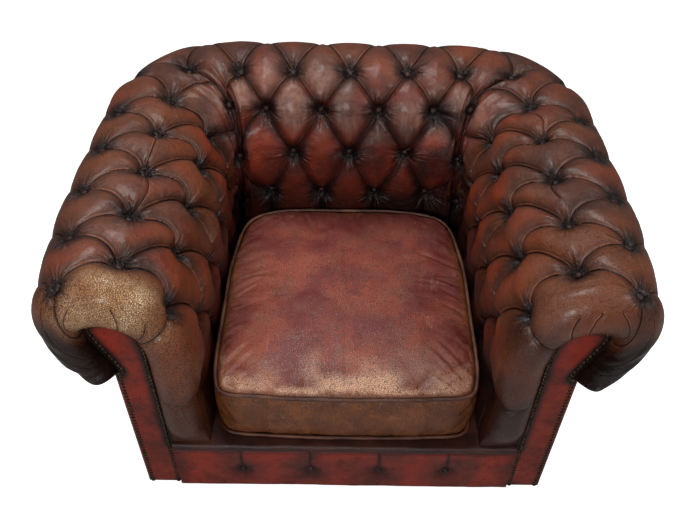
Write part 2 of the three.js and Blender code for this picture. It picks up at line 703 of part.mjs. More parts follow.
function addPanels() {
  const heights = [BASE_BOTTOM, TUCK_HEIGHT - GAP];
  const insets = [0, PANEL_THICKNESS];
  const front = OUTER_LENGTH - FACING_THICKNESS - GAP;
  const right = cornerLengths(1);
  const left = cornerLengths(-1).reverse();
  add("outside_back_panel", band([...left, ...right], insets, heights), looks.panelLeather());
  for (const [name, side] of [["left", -1], ["right", 1]]) {
    const lengths = [side * (CORNER_END + GAP), side * front];
    add("outside_arm_panel_" + name, band(lengths, insets, heights), looks.panelLeather());
  }
}

// Timber frame
function block(name, [x0, x1], [y0, y1], [z0, z1], material) {
  const box = new THREE.BoxGeometry(x1 - x0, y1 - y0, z1 - z0);
  const mesh = add(name, box, material);
  mesh.position.set((x0 + x1) / 2, (y0 + y1) / 2, (z0 + z1) / 2);
  return mesh;
}

const mirrored = (side, a, b) => [Math.min(side * a, side * b), Math.max(side * a, side * b)];

const BOARD_BACK = FACING_THICKNESS + GAP + FACING_BOARD_THICKNESS;
const BORDER_HALF_WIDTH = HALF_WIDTH - STRIP_WIDTH - GAP;
const LIP_BOTTOM = DECK_TOP - LIP_HEIGHT;
const BORDER_BACK = BORDER_THICKNESS - BORDER_LEAD;
const RAIL_OUTER = HALF_WIDTH - RAIL_INSET;
const RAIL_INNER = RAIL_OUTER - RAIL_THICKNESS;
const RAIL_BACK = DEPTH - RAIL_INSET;
const POST_REACH = (CORNER_RADIUS - RAIL_INSET) * Math.SQRT1_2;
const POST_X = HALF_WIDTH - CORNER_RADIUS + POST_REACH - POST_SIZE;
const POST_Y = DEPTH - CORNER_RADIUS + POST_REACH - POST_SIZE;

function addFrame() {
  const timber = (name, x, y, z) => block(name, x, y, z, looks.timber());
  const rail = [RAIL_BOTTOM, RAIL_TOP];
  const front = [BORDER_BACK + GAP, BORDER_BACK + GAP + RAIL_THICKNESS];
  timber("front_rail", [-BORDER_HALF_WIDTH, BORDER_HALF_WIDTH], front, [RAIL_BOTTOM, LIP_BOTTOM - GAP]);
  const between = [-POST_X + GAP, POST_X - GAP];
  const armY = [BOARD_BACK + GAP, POST_Y - GAP];
  const armRail = [ARM_RAIL_TOP - ARM_RAIL_HEIGHT, ARM_RAIL_TOP];
  timber("base_back_rail", between, [RAIL_BACK - RAIL_THICKNESS, RAIL_BACK], rail);
  timber("top_back_rail", between, [RAIL_BACK - ARM_RAIL_WIDTH, RAIL_BACK], armRail);
  const tackTop = [DECK_TOP - TACK_RAIL_HEIGHT, DECK_TOP];
  const tackBackY = [DEPTH - TACK_RAIL_INSET - TACK_RAIL_WIDTH, DEPTH - TACK_RAIL_INSET];
  const tackArmY = [front[1] + GAP, tackBackY[0] - GAP];
  timber("back_tacking_rail", between, tackBackY, tackTop);
  for (const [name, side] of [["left", -1], ["right", 1]]) {
    const beside = (low, high) => mirrored(side, low, high);
    timber("side_rail_" + name, beside(RAIL_INNER, RAIL_OUTER), armY, rail);
    const postY = [POST_Y, POST_Y + POST_SIZE];
    timber("back_post_" + name, beside(POST_X, POST_X + POST_SIZE), postY, [RAIL_BOTTOM, ARM_RAIL_TOP]);
    const blockY = [BOARD_BACK + GAP, BOARD_BACK + BLOCK_LENGTH];
    timber("front_corner_block_" + name, beside(BORDER_HALF_WIDTH + GAP, RAIL_INNER - GAP), blockY, rail);
    timber("arm_rail_" + name, beside(RAIL_OUTER - ARM_RAIL_WIDTH, RAIL_OUTER), armY, armRail);
    const tackOuter = HALF_WIDTH - TACK_RAIL_INSET;
    timber("arm_tacking_rail_" + name, beside(tackOuter - TACK_RAIL_WIDTH, tackOuter), tackArmY, tackTop);
  }
}

function foot(name, x, y) {
  const top = RAIL_BOTTOM - GAP;
  const profile = [
    [0, 0],
    [FOOT_BUN_RADIUS * 0.62, 0],
    [FOOT_BUN_RADIUS, top * 0.38],
    [FOOT_BUN_RADIUS * 0.9, top * 0.66],
    [FOOT_TOP_RADIUS * 0.8, top * 0.8],
    [FOOT_TOP_RADIUS, top * 0.9],
    [FOOT_TOP_RADIUS, top],
    [0, top],
  ].map(([radius, z]) => new THREE.Vector2(radius, z));
  const turned = new THREE.LatheGeometry(profile, FOOT_SIDES);
  turned.rotateX(Math.PI / 2);
  add(name, turned, looks.footTimber()).position.set(x, y, 0);
}

function addFeet() {
  const frontX = (HALF_WIDTH - STRIP_WIDTH + RAIL_INNER) / 2;
  const frontY = BOARD_BACK + BLOCK_LENGTH / 2;
  const backX = POST_X + POST_SIZE / 2;
  const backY = POST_Y + POST_SIZE / 2;
  for (const [name, side] of [["left", -1], ["right", 1]]) {
    foot("foot_front_" + name, side * frontX, frontY);
    foot("foot_back_" + name, side * backX, backY);
  }
}

// Seat platform on straps, and the front border
const SEAT_HALF = HALF_WIDTH - TACK_RAIL_INSET - TACK_RAIL_WIDTH - GAP;
const SEAT_BACK = DEPTH - TACK_RAIL_INSET - TACK_RAIL_WIDTH - GAP;
const LIP_BACK = BORDER_BACK + GAP + RAIL_THICKNESS;
const PAD_BOTTOM = RAIL_TOP + GAP + STRAP_THICKNESS + GAP;

function addPlatform() {
  const first = BOARD_BACK + GAP + BLOCK_LENGTH + STRAP_WIDTH / 2;
  const last = POST_Y - STRAP_WIDTH;
  for (let k = 0; k < STRAPS; k += 1) {
    const y = mix(first, last, k / (STRAPS - 1));
    const z = RAIL_TOP + GAP;
    block(
      "seat_strap_" + (k + 1),
      [-RAIL_OUTER, RAIL_OUTER],
      [y - STRAP_WIDTH / 2, y + STRAP_WIDTH / 2],
      [z, z + STRAP_THICKNESS],
      looks.webbing(),
    );
  }
  const padTop = DECK_TOP - PLATFORM_LEATHER - GAP;
  const across = [-SEAT_HALF, SEAT_HALF];
  const padY = [LIP_BACK + GAP, SEAT_BACK];
  block("platform_pad", across, padY, [PAD_BOTTOM, padTop], looks.filling());
  block("platform_cover", across, padY, [padTop + GAP, DECK_TOP], looks.panelLeather());
  add("platform_lip", platformLip(), looks.panelLeather());
}

// Padded lip along the front of the platform, with a rounded front edge
function platformLip() {
  const front = -BORDER_LEAD;
  const shape = new THREE.Shape();
  shape.moveTo(LIP_BACK, LIP_BOTTOM);
  shape.lineTo(LIP_BACK, DECK_TOP);
  shape.lineTo(front + LIP_RADIUS, DECK_TOP);
  shape.absarc(front + LIP_RADIUS, DECK_TOP - LIP_RADIUS, LIP_RADIUS, Math.PI / 2, Math.PI, false);
  shape.lineTo(front, LIP_BOTTOM);
  const lip = new THREE.ExtrudeGeometry(shape, {
    depth: 2 * BORDER_HALF_WIDTH,
    bevelEnabled: false,
    curveSegments: 5,
  });
  const turned = new THREE.Matrix4().makeBasis(
    new THREE.Vector3(0, 1, 0),
    new THREE.Vector3(0, 0, 1),
    new THREE.Vector3(1, 0, 0),
  );
  return lip.applyMatrix4(turned).translate(-BORDER_HALF_WIDTH, 0, 0);
}

const borderButtons = () =>
  Array.from({ length: BORDER_BUTTONS }, (_, k) => (k - (BORDER_BUTTONS - 1) / 2) * BORDER_BUTTON_PITCH);

// The border's padded face, drawn in at its buttons, with a flat floor under each, and at their pleats
function borderDepth(x, z) {
  const floor = 2.1 * BUTTON_RADIUS;
  let depth = 0;
  for (const buttonX of borderButtons()) {
    const across = Math.abs(x - buttonX);
    const away = Math.hypot(across, z - BORDER_BUTTON_HEIGHT);
    const beyond = Math.max(away - floor, 0);
    const pleat = Math.exp(-((across / BORDER_PLEAT_REACH) ** 2)) * smooth((away - 12) / 14);
    depth += BORDER_PIT_DEPTH * Math.exp(-((beyond / BORDER_PIT_REACH) ** 2));
    depth += BORDER_PLEAT_DEPTH * pleat;
  }
  return depth;
}

function borderFace() {
  const top = LIP_BOTTOM - GAP;
  const edge = [-BORDER_HALF_WIDTH, BORDER_HALF_WIDTH];
  const steps = [-24, -10, 0, 10, 24];
  const across = [...edge, ...borderButtons().flatMap((x) => steps.map((step) => x + step))];
  const rounding = (z) =>
    BORDER_TOP_ROUNDING * 0.5 * (1 - smooth((top - z) / BORDER_TOP_ROUNDING)) +
    BORDER_BOTTOM_ROUNDING * 0.5 * (1 - smooth((z - BASE_BOTTOM) / BORDER_BOTTOM_ROUNDING));
  const face = (x, z) => new THREE.Vector3(x, -BORDER_LEAD + rounding(z) + borderDepth(x, z), z);
  const back = (x, z) => new THREE.Vector3(x, BORDER_BACK, z);
  across.sort((a, b) => a - b);
  return shell(
    grid(across, range(BASE_BOTTOM, top, BORDER_ROWS), face),
    grid(edge, [BASE_BOTTOM, top], back),
  );
}

function addBorder() {
  add("front_border", borderFace(), looks.facingLeather());
  borderButtons().forEach((x, k) => {
    const button = add("front_button_" + (k + 1), dome(BUTTON_RADIUS, BUTTON_DOME), looks.buttonLeather());
    const seat = borderDepth(x, BORDER_BUTTON_HEIGHT) - BORDER_LEAD - GAP;
    button.position.set(x, seat, BORDER_BUTTON_HEIGHT);
  });
}

// A low dome standing out from a flat back, towards the front of the chair
function dome(radius, height) {
  const profile = [
    [0, 0],
    [radius, 0],
    [radius * 0.92, height * 0.5],
    [radius * 0.6, height * 0.88],
    [0, height],
  ];
  const geometry = new THREE.LatheGeometry(profile.map(([r, z]) => new THREE.Vector2(r, z)), 16);
  geometry.rotateX(Math.PI);
  return geometry;
}

// Loose seat cushion
function cushionOutline() {
  const half = CUSHION_HALF_WIDTH;
  const points = [
    [0, CUSHION_FRONT],
    [half * 0.6, CUSHION_FRONT + 4],
    [half - 24, CUSHION_FRONT + 16],
    [half - 8, CUSHION_FRONT + 50],
    [half, mix(CUSHION_FRONT, CUSHION_BACK, 0.4)],
    [half - 2, mix(CUSHION_FRONT, CUSHION_BACK, 0.7)],
    [half - 30, CUSHION_BACK - 48],
    [half * 0.66, CUSHION_BACK - 10],
    [0, CUSHION_BACK],
  ];
  const mirror = points.slice(1, -1).reverse().map(([x, y]) => [-x, y]);
  const loop = [...points, ...mirror].map(([x, y]) => new THREE.Vector3(x, y, 0));
  const curve = new THREE.CatmullRomCurve3(loop, true, "centripetal");
  return curve.getSpacedPoints(CUSHION_SIDES).slice(0, -1);
}

const CUSHION_MIDDLE = (CUSHION_FRONT + CUSHION_BACK) / 2;

// The outline drawn in by a share towards the middle and moved by an outward step, at a height
function cushionRing(share, step, z) {
  const outline = cushionOutline();
  return outline.map((p, k) => {
    const along = outline[(k + 1) % outline.length].clone().sub(outline.at(k - 1)).normalize();
    return new THREE.Vector3(
      (p.x + along.y * step) * share,
      CUSHION_MIDDLE + (p.y - along.x * step - CUSHION_MIDDLE) * share,
      z,
    );
  });
}

function cushionBody() {
  const seam = -PIPING_RADIUS - GAP;
  const low = CUSHION_BOTTOM_PIPING;
  const high = CUSHION_TOP_PIPING;
  const bottom = DECK_TOP + GAP;
  const crown = (share) => high + PIPING_RADIUS + CUSHION_CROWN * (1 - share ** 2.4);
  return lofted([
    cushionRing(0.02, 0, bottom),
    cushionRing(0.94, 0, bottom),
    cushionRing(1, seam, low),
    cushionRing(1, seam, low + PIPING_RADIUS * 0.6),
    cushionRing(1, 1, low + CUSHION_EDGE),
    cushionRing(1, 3, (low + high) / 2),
    cushionRing(1, 1, high - CUSHION_EDGE),
    cushionRing(1, seam, high - PIPING_RADIUS * 0.6),
    cushionRing(1, seam, high),
    cushionRing(0.955, 0, crown(0.97)),
    cushionRing(0.85, 0, crown(0.85)),
    cushionRing(0.65, 0, crown(0.65)),
    cushionRing(0.35, 0, crown(0.35)),
    cushionRing(0.02, 0, crown(0.02)),
  ]);
}

function pipingRing(z) {
  const outline = cushionOutline();
  const rings = outline.map((p, k) => {
    const along = outline[(k + 1) % outline.length].clone().sub(outline.at(k - 1)).normalize();
    return Array.from({ length: PIPING_SIDES }, (_, j) => {
      const turn = (2 * Math.PI * j) / PIPING_SIDES;
      const out = PIPING_RADIUS * Math.cos(turn);
      const up = PIPING_RADIUS * Math.sin(turn);
      return new THREE.Vector3(p.x + along.y * out, p.y - along.x * out, z + up);
    });
  });
  return lofted(rings, true);
}

function addCushion() {
  add("seat_cushion", cushionBody(), looks.cushionLeather());
  add("cushion_piping_top", pipingRing(CUSHION_TOP_PIPING), looks.pipingLeather());
  add("cushion_piping_bottom", pipingRing(CUSHION_BOTTOM_PIPING), looks.pipingLeather());
}

// Cloth under the base, cut away round the feet
function addDustCover() {
  const notch = BLOCK_LENGTH + DUST_COVER_MARGIN;
  const half = HALF_WIDTH - PANEL_THICKNESS - GAP - DUST_COVER_MARGIN;
  const front = BOARD_BACK;
  const back = RAIL_BACK - RAIL_THICKNESS / 5;
  const corners = [
    [-half + notch, front],
    [half - notch, front],
    [half - notch, front + notch],
    [half, front + notch],
    [half, back - notch],
    [half - notch, back - notch],
    [half - notch, back],
    [-half + notch, back],
    [-half + notch, back - notch],
    [-half, back - notch],
    [-half, front + notch],
    [-half + notch, front + notch],
  ].map(([x, y]) => new THREE.Vector2(x, y));
  const cloth = new THREE.ExtrudeGeometry(new THREE.Shape(corners), {
    depth: DUST_COVER_THICKNESS,
    bevelEnabled: false,
  });
  const mesh = add("dust_cover", cloth, looks.dustCloth());
  mesh.position.z = RAIL_BOTTOM - GAP - DUST_COVER_THICKNESS;
}

addHorseshoe();
addFacings();
addPanels();
addFrame();
addFeet();
addPlatform();
addBorder();
addCushion();
addDustCover();

// The origin is on the floor under the middle of the whole chair.
const whole = new THREE.Box3().setFromObject(chair);
chair.position.set(-(whole.min.x + whole.max.x) / 2, -(whole.min.y + whole.max.y) / 2, 0);

export default chair;
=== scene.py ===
import json
import math
from itertools import product

import bpy
import numpy as np
from mathutils import Matrix, Vector
from mathutils.geometry import delaunay_2d_cdt


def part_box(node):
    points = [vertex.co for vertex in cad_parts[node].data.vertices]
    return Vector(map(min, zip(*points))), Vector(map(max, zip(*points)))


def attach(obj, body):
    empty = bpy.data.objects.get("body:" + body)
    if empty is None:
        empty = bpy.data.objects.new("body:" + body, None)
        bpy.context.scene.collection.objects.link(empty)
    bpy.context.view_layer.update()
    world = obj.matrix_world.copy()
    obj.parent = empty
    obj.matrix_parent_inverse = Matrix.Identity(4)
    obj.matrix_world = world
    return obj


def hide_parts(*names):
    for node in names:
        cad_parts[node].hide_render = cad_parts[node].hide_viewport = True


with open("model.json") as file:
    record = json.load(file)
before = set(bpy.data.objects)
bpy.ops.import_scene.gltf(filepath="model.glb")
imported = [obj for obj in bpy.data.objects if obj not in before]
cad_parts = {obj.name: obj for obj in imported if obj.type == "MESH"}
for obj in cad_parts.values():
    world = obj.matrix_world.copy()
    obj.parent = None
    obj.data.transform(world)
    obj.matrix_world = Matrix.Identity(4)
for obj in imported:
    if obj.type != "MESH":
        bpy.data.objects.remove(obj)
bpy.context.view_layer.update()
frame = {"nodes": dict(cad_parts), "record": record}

# Sizes in millimetres, as the solids have them. y = 0 is the plane of the arm facings.
HALF_WIDTH = 447
DEPTH = 808.5
CORNER_RADIUS = 115
BASE_BOTTOM = 57
DECK_TOP = 215.5
GAP = 0.3
ARM_TOP = 716
SEAT_INSET = 158
FACE_INSET = 168
ROLL_OVERHANG = 88
ROLL_TOP_INSET = 20
ROLL_SIDE_HEIGHT = 626
TUCK_HEIGHT = 452
SWELL_LENGTH = 300
BACK_RISE = 18
BACK_LEAN = 14
BACK_FLAT = 200
BACK_FADE = 400
ARM_SWELL_FRONT = 20
ARM_SWELL = 46
INNER_INSET = 180
INNER_CORNER_RADIUS = 52
STRIP_WIDTH = 76
NOSE_OVERHANG = 33
NOSE_TOP = 605
NOSE_SIDE_HEIGHT = 571
NOSE_NECK_HEIGHT = 485
NOSE_TUCK = 7
FACING_THICKNESS = 3
BULLNOSE = 50
BUTTON_PITCH = 136
FRONT_BUTTON_SETBACK = 12
COVER_THICKNESS = 40
COVER_SHARE = 0.45  # most of the section that the cover takes
PIT_DEPTH = 24
PIT_REACH = 20
PLEAT_DEPTH = 8
PLEAT_REACH = 6
PILLOW_DEPTH = 11
PILLOW_REACH = 25
FULL_TUFT_DEPTH = 90
CUSHION_FRONT = 12
CUSHION_BACK = 622
CUSHION_HALF_WIDTH = 280
CUSHION_BOTTOM_PIPING = 224
CUSHION_TOP_PIPING = 359
CUSHION_CROWN = 26
PIPING_RADIUS = 4
BORDER_LEAD = 10
BORDER_BUTTONS = 4
BORDER_BUTTON_PITCH = 151
BORDER_BUTTON_HEIGHT = 119
BORDER_PIT_DEPTH = 8
BORDER_PLEAT_DEPTH = 3
LIP_HEIGHT = 14
LIP_RADIUS = 8
BUTTON_RADIUS = 8
BUTTON_HEIGHT = 5
BORDER_BUTTON_DOME = 4
NAIL_RADIUS = 5
NAIL_HEIGHT = 3
NAIL_INSET = 9
NAIL_PITCH = 10.2

FACING_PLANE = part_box("facing_leather_left")[0][1] * 1000


def to_row(points):
    """Millimetres behind the facing plane to metres in the frame of the whole chair."""
    return (np.asarray(points, float) + (0, FACING_PLANE, 0)) / 1000


# Small mathematics
def clamp01(t):
    return np.clip(t, 0, 1)


def smooth(t):
    t = clamp01(t)
    return t * t * (3 - 2 * t)


def mix(a, b, t):
    return a + (b - a) * t


def bell(t, width):
    return np.exp(-((t / width) ** 2))


def decay(t, width):
    return np.exp(-np.abs(t) / width)


def most(*values):
    return np.maximum.reduce(values)


def cubic(a, b, leaving, arriving, w):
    """Points at shares of the way from a to b, leaving and arriving with given slopes."""
    curved = (2 * a - 2 * b + leaving + arriving) * w**3
    return curved + (3 * b - 3 * a - 2 * leaving - arriving) * w**2 + leaving * w + a


def running_total(steps):
    return np.concatenate([[0], np.cumsum(steps)])


def noise(points, size, seed=0):
    """Smooth noise from -1 to 1 over 3-D points, with cells of the given size."""
    p = points / size + seed * 19.37
    cell = np.floor(p).astype(np.int64)
    f = p - cell
    f = f * f * (3 - 2 * f)
    total = np.zeros(len(p))
    for corner in product((0, 1), repeat=3):
        c = cell + corner
        h = (c[:, 0] * 73856093) ^ (c[:, 1] * 19349663) ^ (c[:, 2] * 83492791)
        h = (h ^ (h >> 13)) & 0x7FFFFFFF
        h = (h * (h * 15731 % 2147483647 + 789221) + 1376312589) & 0x7FFFFFFF
        weight = np.prod(np.where(corner, f, 1 - f), axis=1)
        total += weight * (h / 0x3FFFFFFF - 1)
    return total


# Plan and section of the horseshoe
def rounded_line(length, half_width, back, radius):
    """Points and outward normals of half a line with one rounded corner."""
    straight = half_width - radius
    arc = radius * math.pi / 2
    turn = np.clip((length - straight) / radius, 0, math.pi / 2)
    nx = np.sin(turn)
    ny = np.cos(turn)
    x = np.minimum(length, straight) + radius * nx
    y = back - radius + radius * ny - np.maximum(length - straight - arc, 0)
    return x, y, nx, ny


def line_length(half_width, back, radius):
    return half_width - radius + radius * math.pi / 2 + back - radius


OUTER_LENGTH = line_length(HALF_WIDTH, DEPTH, CORNER_RADIUS)
INNER_LENGTH = line_length(HALF_WIDTH - INNER_INSET, DEPTH - INNER_INSET, INNER_CORNER_RADIUS)
CORNER_MIDDLE = HALF_WIDTH - CORNER_RADIUS * (1 - math.pi / 4)
CORNER_SPREAD = 1.4
SQUEEZE_START = HALF_WIDTH - INNER_INSET - 2 * INNER_CORNER_RADIUS
SQUEEZE_END = OUTER_LENGTH - (DEPTH - INNER_INSET - 2.5 * INNER_CORNER_RADIUS)


def plan_point(length, inset, swell_share):
    side = np.where(length < 0, -1, 1)
    along = np.abs(length)
    ox, oy, nx, ny = rounded_line(along, HALF_WIDTH, DEPTH, CORNER_RADIUS)
    squeeze = smooth((along - SQUEEZE_START) / (SQUEEZE_END - SQUEEZE_START))
    inner_along = along - (OUTER_LENGTH - INNER_LENGTH) * squeeze
    half = HALF_WIDTH - INNER_INSET
    ix, iy, _, _ = rounded_line(inner_along, half, DEPTH - INNER_INSET, INNER_CORNER_RADIUS)
    pull = (np.maximum(inset, 0) / INNER_INSET) ** 1.5
    ramp = np.sin(math.pi / 2 * clamp01((OUTER_LENGTH - along) / SWELL_LENGTH))
    corner = smooth((along - CORNER_MIDDLE) / CORNER_RADIUS / CORNER_SPREAD)
    out = mix(ARM_SWELL_FRONT, ARM_SWELL, ramp) * corner * swell_share - inset
    x = ox + nx * out + pull * (ix - ox + nx * INNER_INSET)
    y = oy + ny * out + pull * (iy - oy + ny * INNER_INSET)
    return side * x, y


class Curve:
    """A smooth curve through points, read at even lengths."""

    def __init__(self, points):
        self.points = np.array(points, float)
        self.steps = np.linspace(0, len(points) - 1, 401)
        samples = self.at(self.steps)
        self.lengths = running_total(np.hypot(*np.diff(samples, axis=0).T))

    def at(self, t):
        last = len(self.points) - 1
        k = np.minimum(t.astype(int), last)
        w = (t - k)[:, None]
        p0, p1, p2, p3 = (self.points[np.clip(k + step, 0, last)] for step in (-1, 0, 1, 2))
        return cubic(p1, p2, (p2 - p0) / 2, (p3 - p1) / 2, w)

    def share(self, u):
        return self.at(np.interp(clamp01(u) * self.lengths[-1], self.lengths, self.steps))


CROWN = Curve(
    [
        (SEAT_INSET, DECK_TOP + GAP),
        (SEAT_INSET, mix(DECK_TOP, ARM_TOP, 0.29)),
        (FACE_INSET, mix(DECK_TOP, ARM_TOP, 0.49)),
        (FACE_INSET - 2, mix(DECK_TOP, ARM_TOP, 0.65)),
        (FACE_INSET - 22, mix(DECK_TOP, ARM_TOP, 0.85)),
        (ROLL_TOP_INSET + 70, ARM_TOP - 18),
        (ROLL_TOP_INSET, ARM_TOP),
        (-ROLL_OVERHANG + 31, ARM_TOP - 21),
        (-ROLL_OVERHANG, ROLL_SIDE_HEIGHT),
        (-ROLL_OVERHANG + 15, mix(TUCK_HEIGHT, ROLL_SIDE_HEIGHT, 0.5)),
        (-ROLL_OVERHANG + 48, mix(TUCK_HEIGHT, ROLL_SIDE_HEIGHT, 0.18)),
        (0, TUCK_HEIGHT),
    ]
)
FACING = Curve(
    [
        (STRIP_WIDTH, DECK_TOP + GAP),
        (STRIP_WIDTH, mix(DECK_TOP, NOSE_TOP, 0.3)),
        (STRIP_WIDTH, mix(DECK_TOP, NOSE_TOP, 0.6)),
        (STRIP_WIDTH - 2, NOSE_TOP - 70),
        (STRIP_WIDTH - 20, NOSE_TOP - 21),
        (STRIP_WIDTH - 58, NOSE_TOP),
        (-NOSE_OVERHANG + 12, NOSE_TOP - 10),
        (-NOSE_OVERHANG, NOSE_SIDE_HEIGHT),
        (-NOSE_OVERHANG + 18, mix(NOSE_NECK_HEIGHT, NOSE_SIDE_HEIGHT, 0.4)),
        (NOSE_TUCK, mix(TUCK_HEIGHT, NOSE_NECK_HEIGHT, 0.4)),
        (NOSE_TUCK, TUCK_HEIGHT + 2),
    ]
)
SECTION_START = -2
SECTION_END = 6
SWELL_ROW = 1.2
LEAN_ROWS = 5
ROW_STOPS = (SECTION_START, 0, 1, 2, 3, 4, SECTION_END)
CROWN_STOPS = (0, 0.205, 0.315, 0.435, 0.565, 0.69, 1)
FACING_STOPS = (0, 0.33, 0.47, 0.585, 0.69, 0.8, 1)


def back_share(length):
    return 1 - smooth((np.abs(length) - BACK_FLAT) / BACK_FADE)


def section_point(length, row, layer):
    crown = CROWN.share(np.interp(row, ROW_STOPS, CROWN_STOPS))
    facing = FACING.share(np.interp(row, ROW_STOPS, FACING_STOPS))
    share = back_share(length)
    rise = smooth((crown[:, 1] - DECK_TOP) / (ARM_TOP - DECK_TOP)) * BACK_RISE * share
    lean = np.sin(math.pi * clamp01((row - SECTION_START) / LEAN_ROWS)) * BACK_LEAN * share
    crown = crown + np.stack([lean, rise], 1)
    facing = facing + np.stack([0 * rise, rise], 1)
    return mix(crown, facing, np.reshape(layer, (-1, 1)))


def section_depth(length, row):
    return np.hypot(*(section_point(length, row, 0) - section_point(length, row, 1)).T)


def space_point(length, row, layer):
    section = section_point(length, row, layer)
    swell = np.sin(math.pi * clamp01((row - SWELL_ROW) / (SECTION_END - SWELL_ROW)))
    x, y = plan_point(length, section[:, 0], swell * (1 - layer))
    return np.stack([x, y, section[:, 1]], 1)


def rim_point(side, row, turn):
    """The padded rim: from the arm's section, forward and back to the facing's edge."""
    start = space_point(side * OUTER_LENGTH, row, 0)
    end = space_point(side * OUTER_LENGTH, row, 1)
    end[:, 1] = FACING_THICKNESS
    fade = smooth((row - SECTION_START + 0.15) / 1.3)
    reach = BULLNOSE * fade * smooth(np.linalg.norm(start - end, axis=1) / BULLNOSE)
    point = mix(start, end, ((1 - np.cos(turn)) / 2)[:, None])
    point[:, 1] -= reach * np.sin(turn)
    return point


# Button grid
LAST_BUTTON = round((OUTER_LENGTH - FRONT_BUTTON_SETBACK) / BUTTON_PITCH - 0.5) + 0.5
PITCH_FIT = (OUTER_LENGTH - FRONT_BUTTON_SETBACK) / LAST_BUTTON
FRONT_INDEX = OUTER_LENGTH / PITCH_FIT
CORNER_BUTTON = 3
CORNER_REACH = (0.5, 1, 0.5, 0, 0)
LAST_ROW = 4


def button_index(row, index):
    away = abs(abs(index) - CORNER_BUTTON)
    return math.copysign(CORNER_BUTTON, index) if away <= CORNER_REACH[row] else index


def pleat_lines():
    """Pleats between neighbouring rows, past the first and the last row, and over the rim."""
    lines = []
    for row in range(LAST_ROW + 1):
        first = -LAST_BUTTON + (0 if row % 2 == 0 else 0.5)
        for index in np.arange(first, LAST_BUTTON + 0.1):
            here = (button_index(row, index), row)
            for step in (-0.5, 0.5):
                if row < LAST_ROW and abs(index + step) <= LAST_BUTTON:
                    lines.append((here, (button_index(row + 1, index + step), row + 1)))
            if row == 0:
                lines.append((here, (here[0], SECTION_START)))
            if row == LAST_ROW:
                lines.append((here, (here[0], SECTION_END)))
            if abs(index) == LAST_BUTTON:
                lines.append((here, (math.copysign(LAST_BUTTON + 2, index), row)))
    for corner in (-CORNER_BUTTON, CORNER_BUTTON):
        lines.append(((corner, LAST_ROW - 1), (corner, 0)))
    return sorted({line for line in lines if line[0] != line[1]})


PLEATS = pleat_lines()
BUTTONS = sorted(
    {
        (index, row)
        for line in PLEATS
        for index, row in line
        if 0 <= row <= LAST_ROW and abs(index) <= LAST_BUTTON
    }
)
# Share of the depths that is left past the last row, on the arms and on the back
OUTER_TUFT = 0.36
OUTER_TUFT_BACK = 0.25
MOST_DRAWN = 0.8  # of the cover's thickness
PIT_FLOOR = 5
PLEAT_BOW = 0.15
FOLD_HEIGHT = 2.2
RAY_HEIGHT = 9
CORNER_FOLD_HEIGHT = 8
GATHER_HEIGHT = 5
SHORT_FOLD_DEPTH = 3
SHORT_FOLD_WIDTH = 4
# Folds under the rolls: the row where each leaves the roll and where it meets the facing
UNDER_FOLDS = ((4.25, 4.75), (4.8, 5.0), (5.4, 5.2))


# By row: how far the buttons drift along the arms and the corners, in pitches, and up the section
ARM_DRIFT = (-0.3, -0.3, -0.18, -0.12, 0.23, 0.33, 0.33)
ARM_RISE = (0, -0.2, -0.1, -0.06, -0.09, -0.18, 0)
BACK_RISE_ROWS = (0, -0.25, 0, 0, -0.09, 0.05, 0)
CORNER_DRIFT = (0, 0, 0, -0.26, 0.15, 0.1, 0)
CORNER_RISE = (0, -0.4, 0, 0.24, 0.26, 0.1, 0)


def by_row(values, row):
    stops = np.array(ROW_STOPS, float)
    values = np.array(values, float)
    after = np.clip(np.searchsorted(stops, row), 1, len(stops) - 1)
    share = smooth((row - stops[after - 1]) / (stops[after] - stops[after - 1]))
    return mix(values[after - 1], values[after], share)


def laid_place(index, row):
    """Where a place of the button grid lies on the surface."""
    away = np.abs(index)
    arm = smooth((away - CORNER_BUTTON - 0.2) / 1.2)
    corner = smooth(1 - np.abs(away - CORNER_BUTTON) / 0.9)
    back = (1 - arm) * (1 - corner)
    front = smooth((away - LAST_BUTTON + 1.5) / 1.5)
    rim = 1 - clamp01(away - FRONT_INDEX)
    drift = by_row(ARM_DRIFT, row) * arm * (1 - 0.4 * front) + by_row(CORNER_DRIFT, row) * corner
    rise = by_row(ARM_RISE, row) * arm + by_row(BACK_RISE_ROWS, row) * back
    rise = rise + by_row(CORNER_RISE, row) * corner
    return index + np.sign(index) * drift * rim, row + rise * rim


def cover_point(index, row):
    index, row = laid_place(index, row)
    over = np.abs(index) - FRONT_INDEX
    side = np.where(index < 0, -1, 1)
    flat = space_point(index * PITCH_FIT, row, 0)
    rim = rim_point(side, row, clamp01(over) * math.pi)
    return np.where((over <= 0)[:, None], flat, rim)


def nearest_button(index, row, index_length, row_length):
    """Distance, direction and number of the nearest button."""
    pit = np.full(len(index), np.inf)
    angle = np.zeros(len(index))
    which = np.zeros(len(index), int)
    for k, (button, button_row) in enumerate(BUTTONS):
        dx = (index - button) * index_length
        dy = (row - button_row) * row_length
        away = np.hypot(dx, dy)
        near = away < pit
        pit[near] = away[near]
        angle[near] = np.arctan2(dy, dx)[near]
        which[near] = k
    return pit, angle, which


# Shallow folds beside the pleats: along the top of the left arm and over the rims
SHORT_FOLDS = (
    ((-5, 3), (-6, 3)),
    ((-6.05, 3), (-6.9, 2.97)),
    ((-6.75, 3.12), (-7, 3)),
    ((-8.85, 2.95), (-9.5, 2.75)),
    ((-8.85, 3.7), (-9.25, 3.78)),
    ((-8.95, 2.35), (-9.5, 2.3)),
    ((8.85, 2.85), (9.5, 2.6)),
    ((8.85, 3.2), (9.5, 2.95)),
    ((8.8, 3.6), (9.25, 3.72)),
    ((6, 3), (6.55, 2.98)),
    ((4.3, 3), (4.8, 3.1)),
    *(((side * 8.7, start), (side * 9.8, end)) for start, end in UNDER_FOLDS for side in (-1, 1)),
)


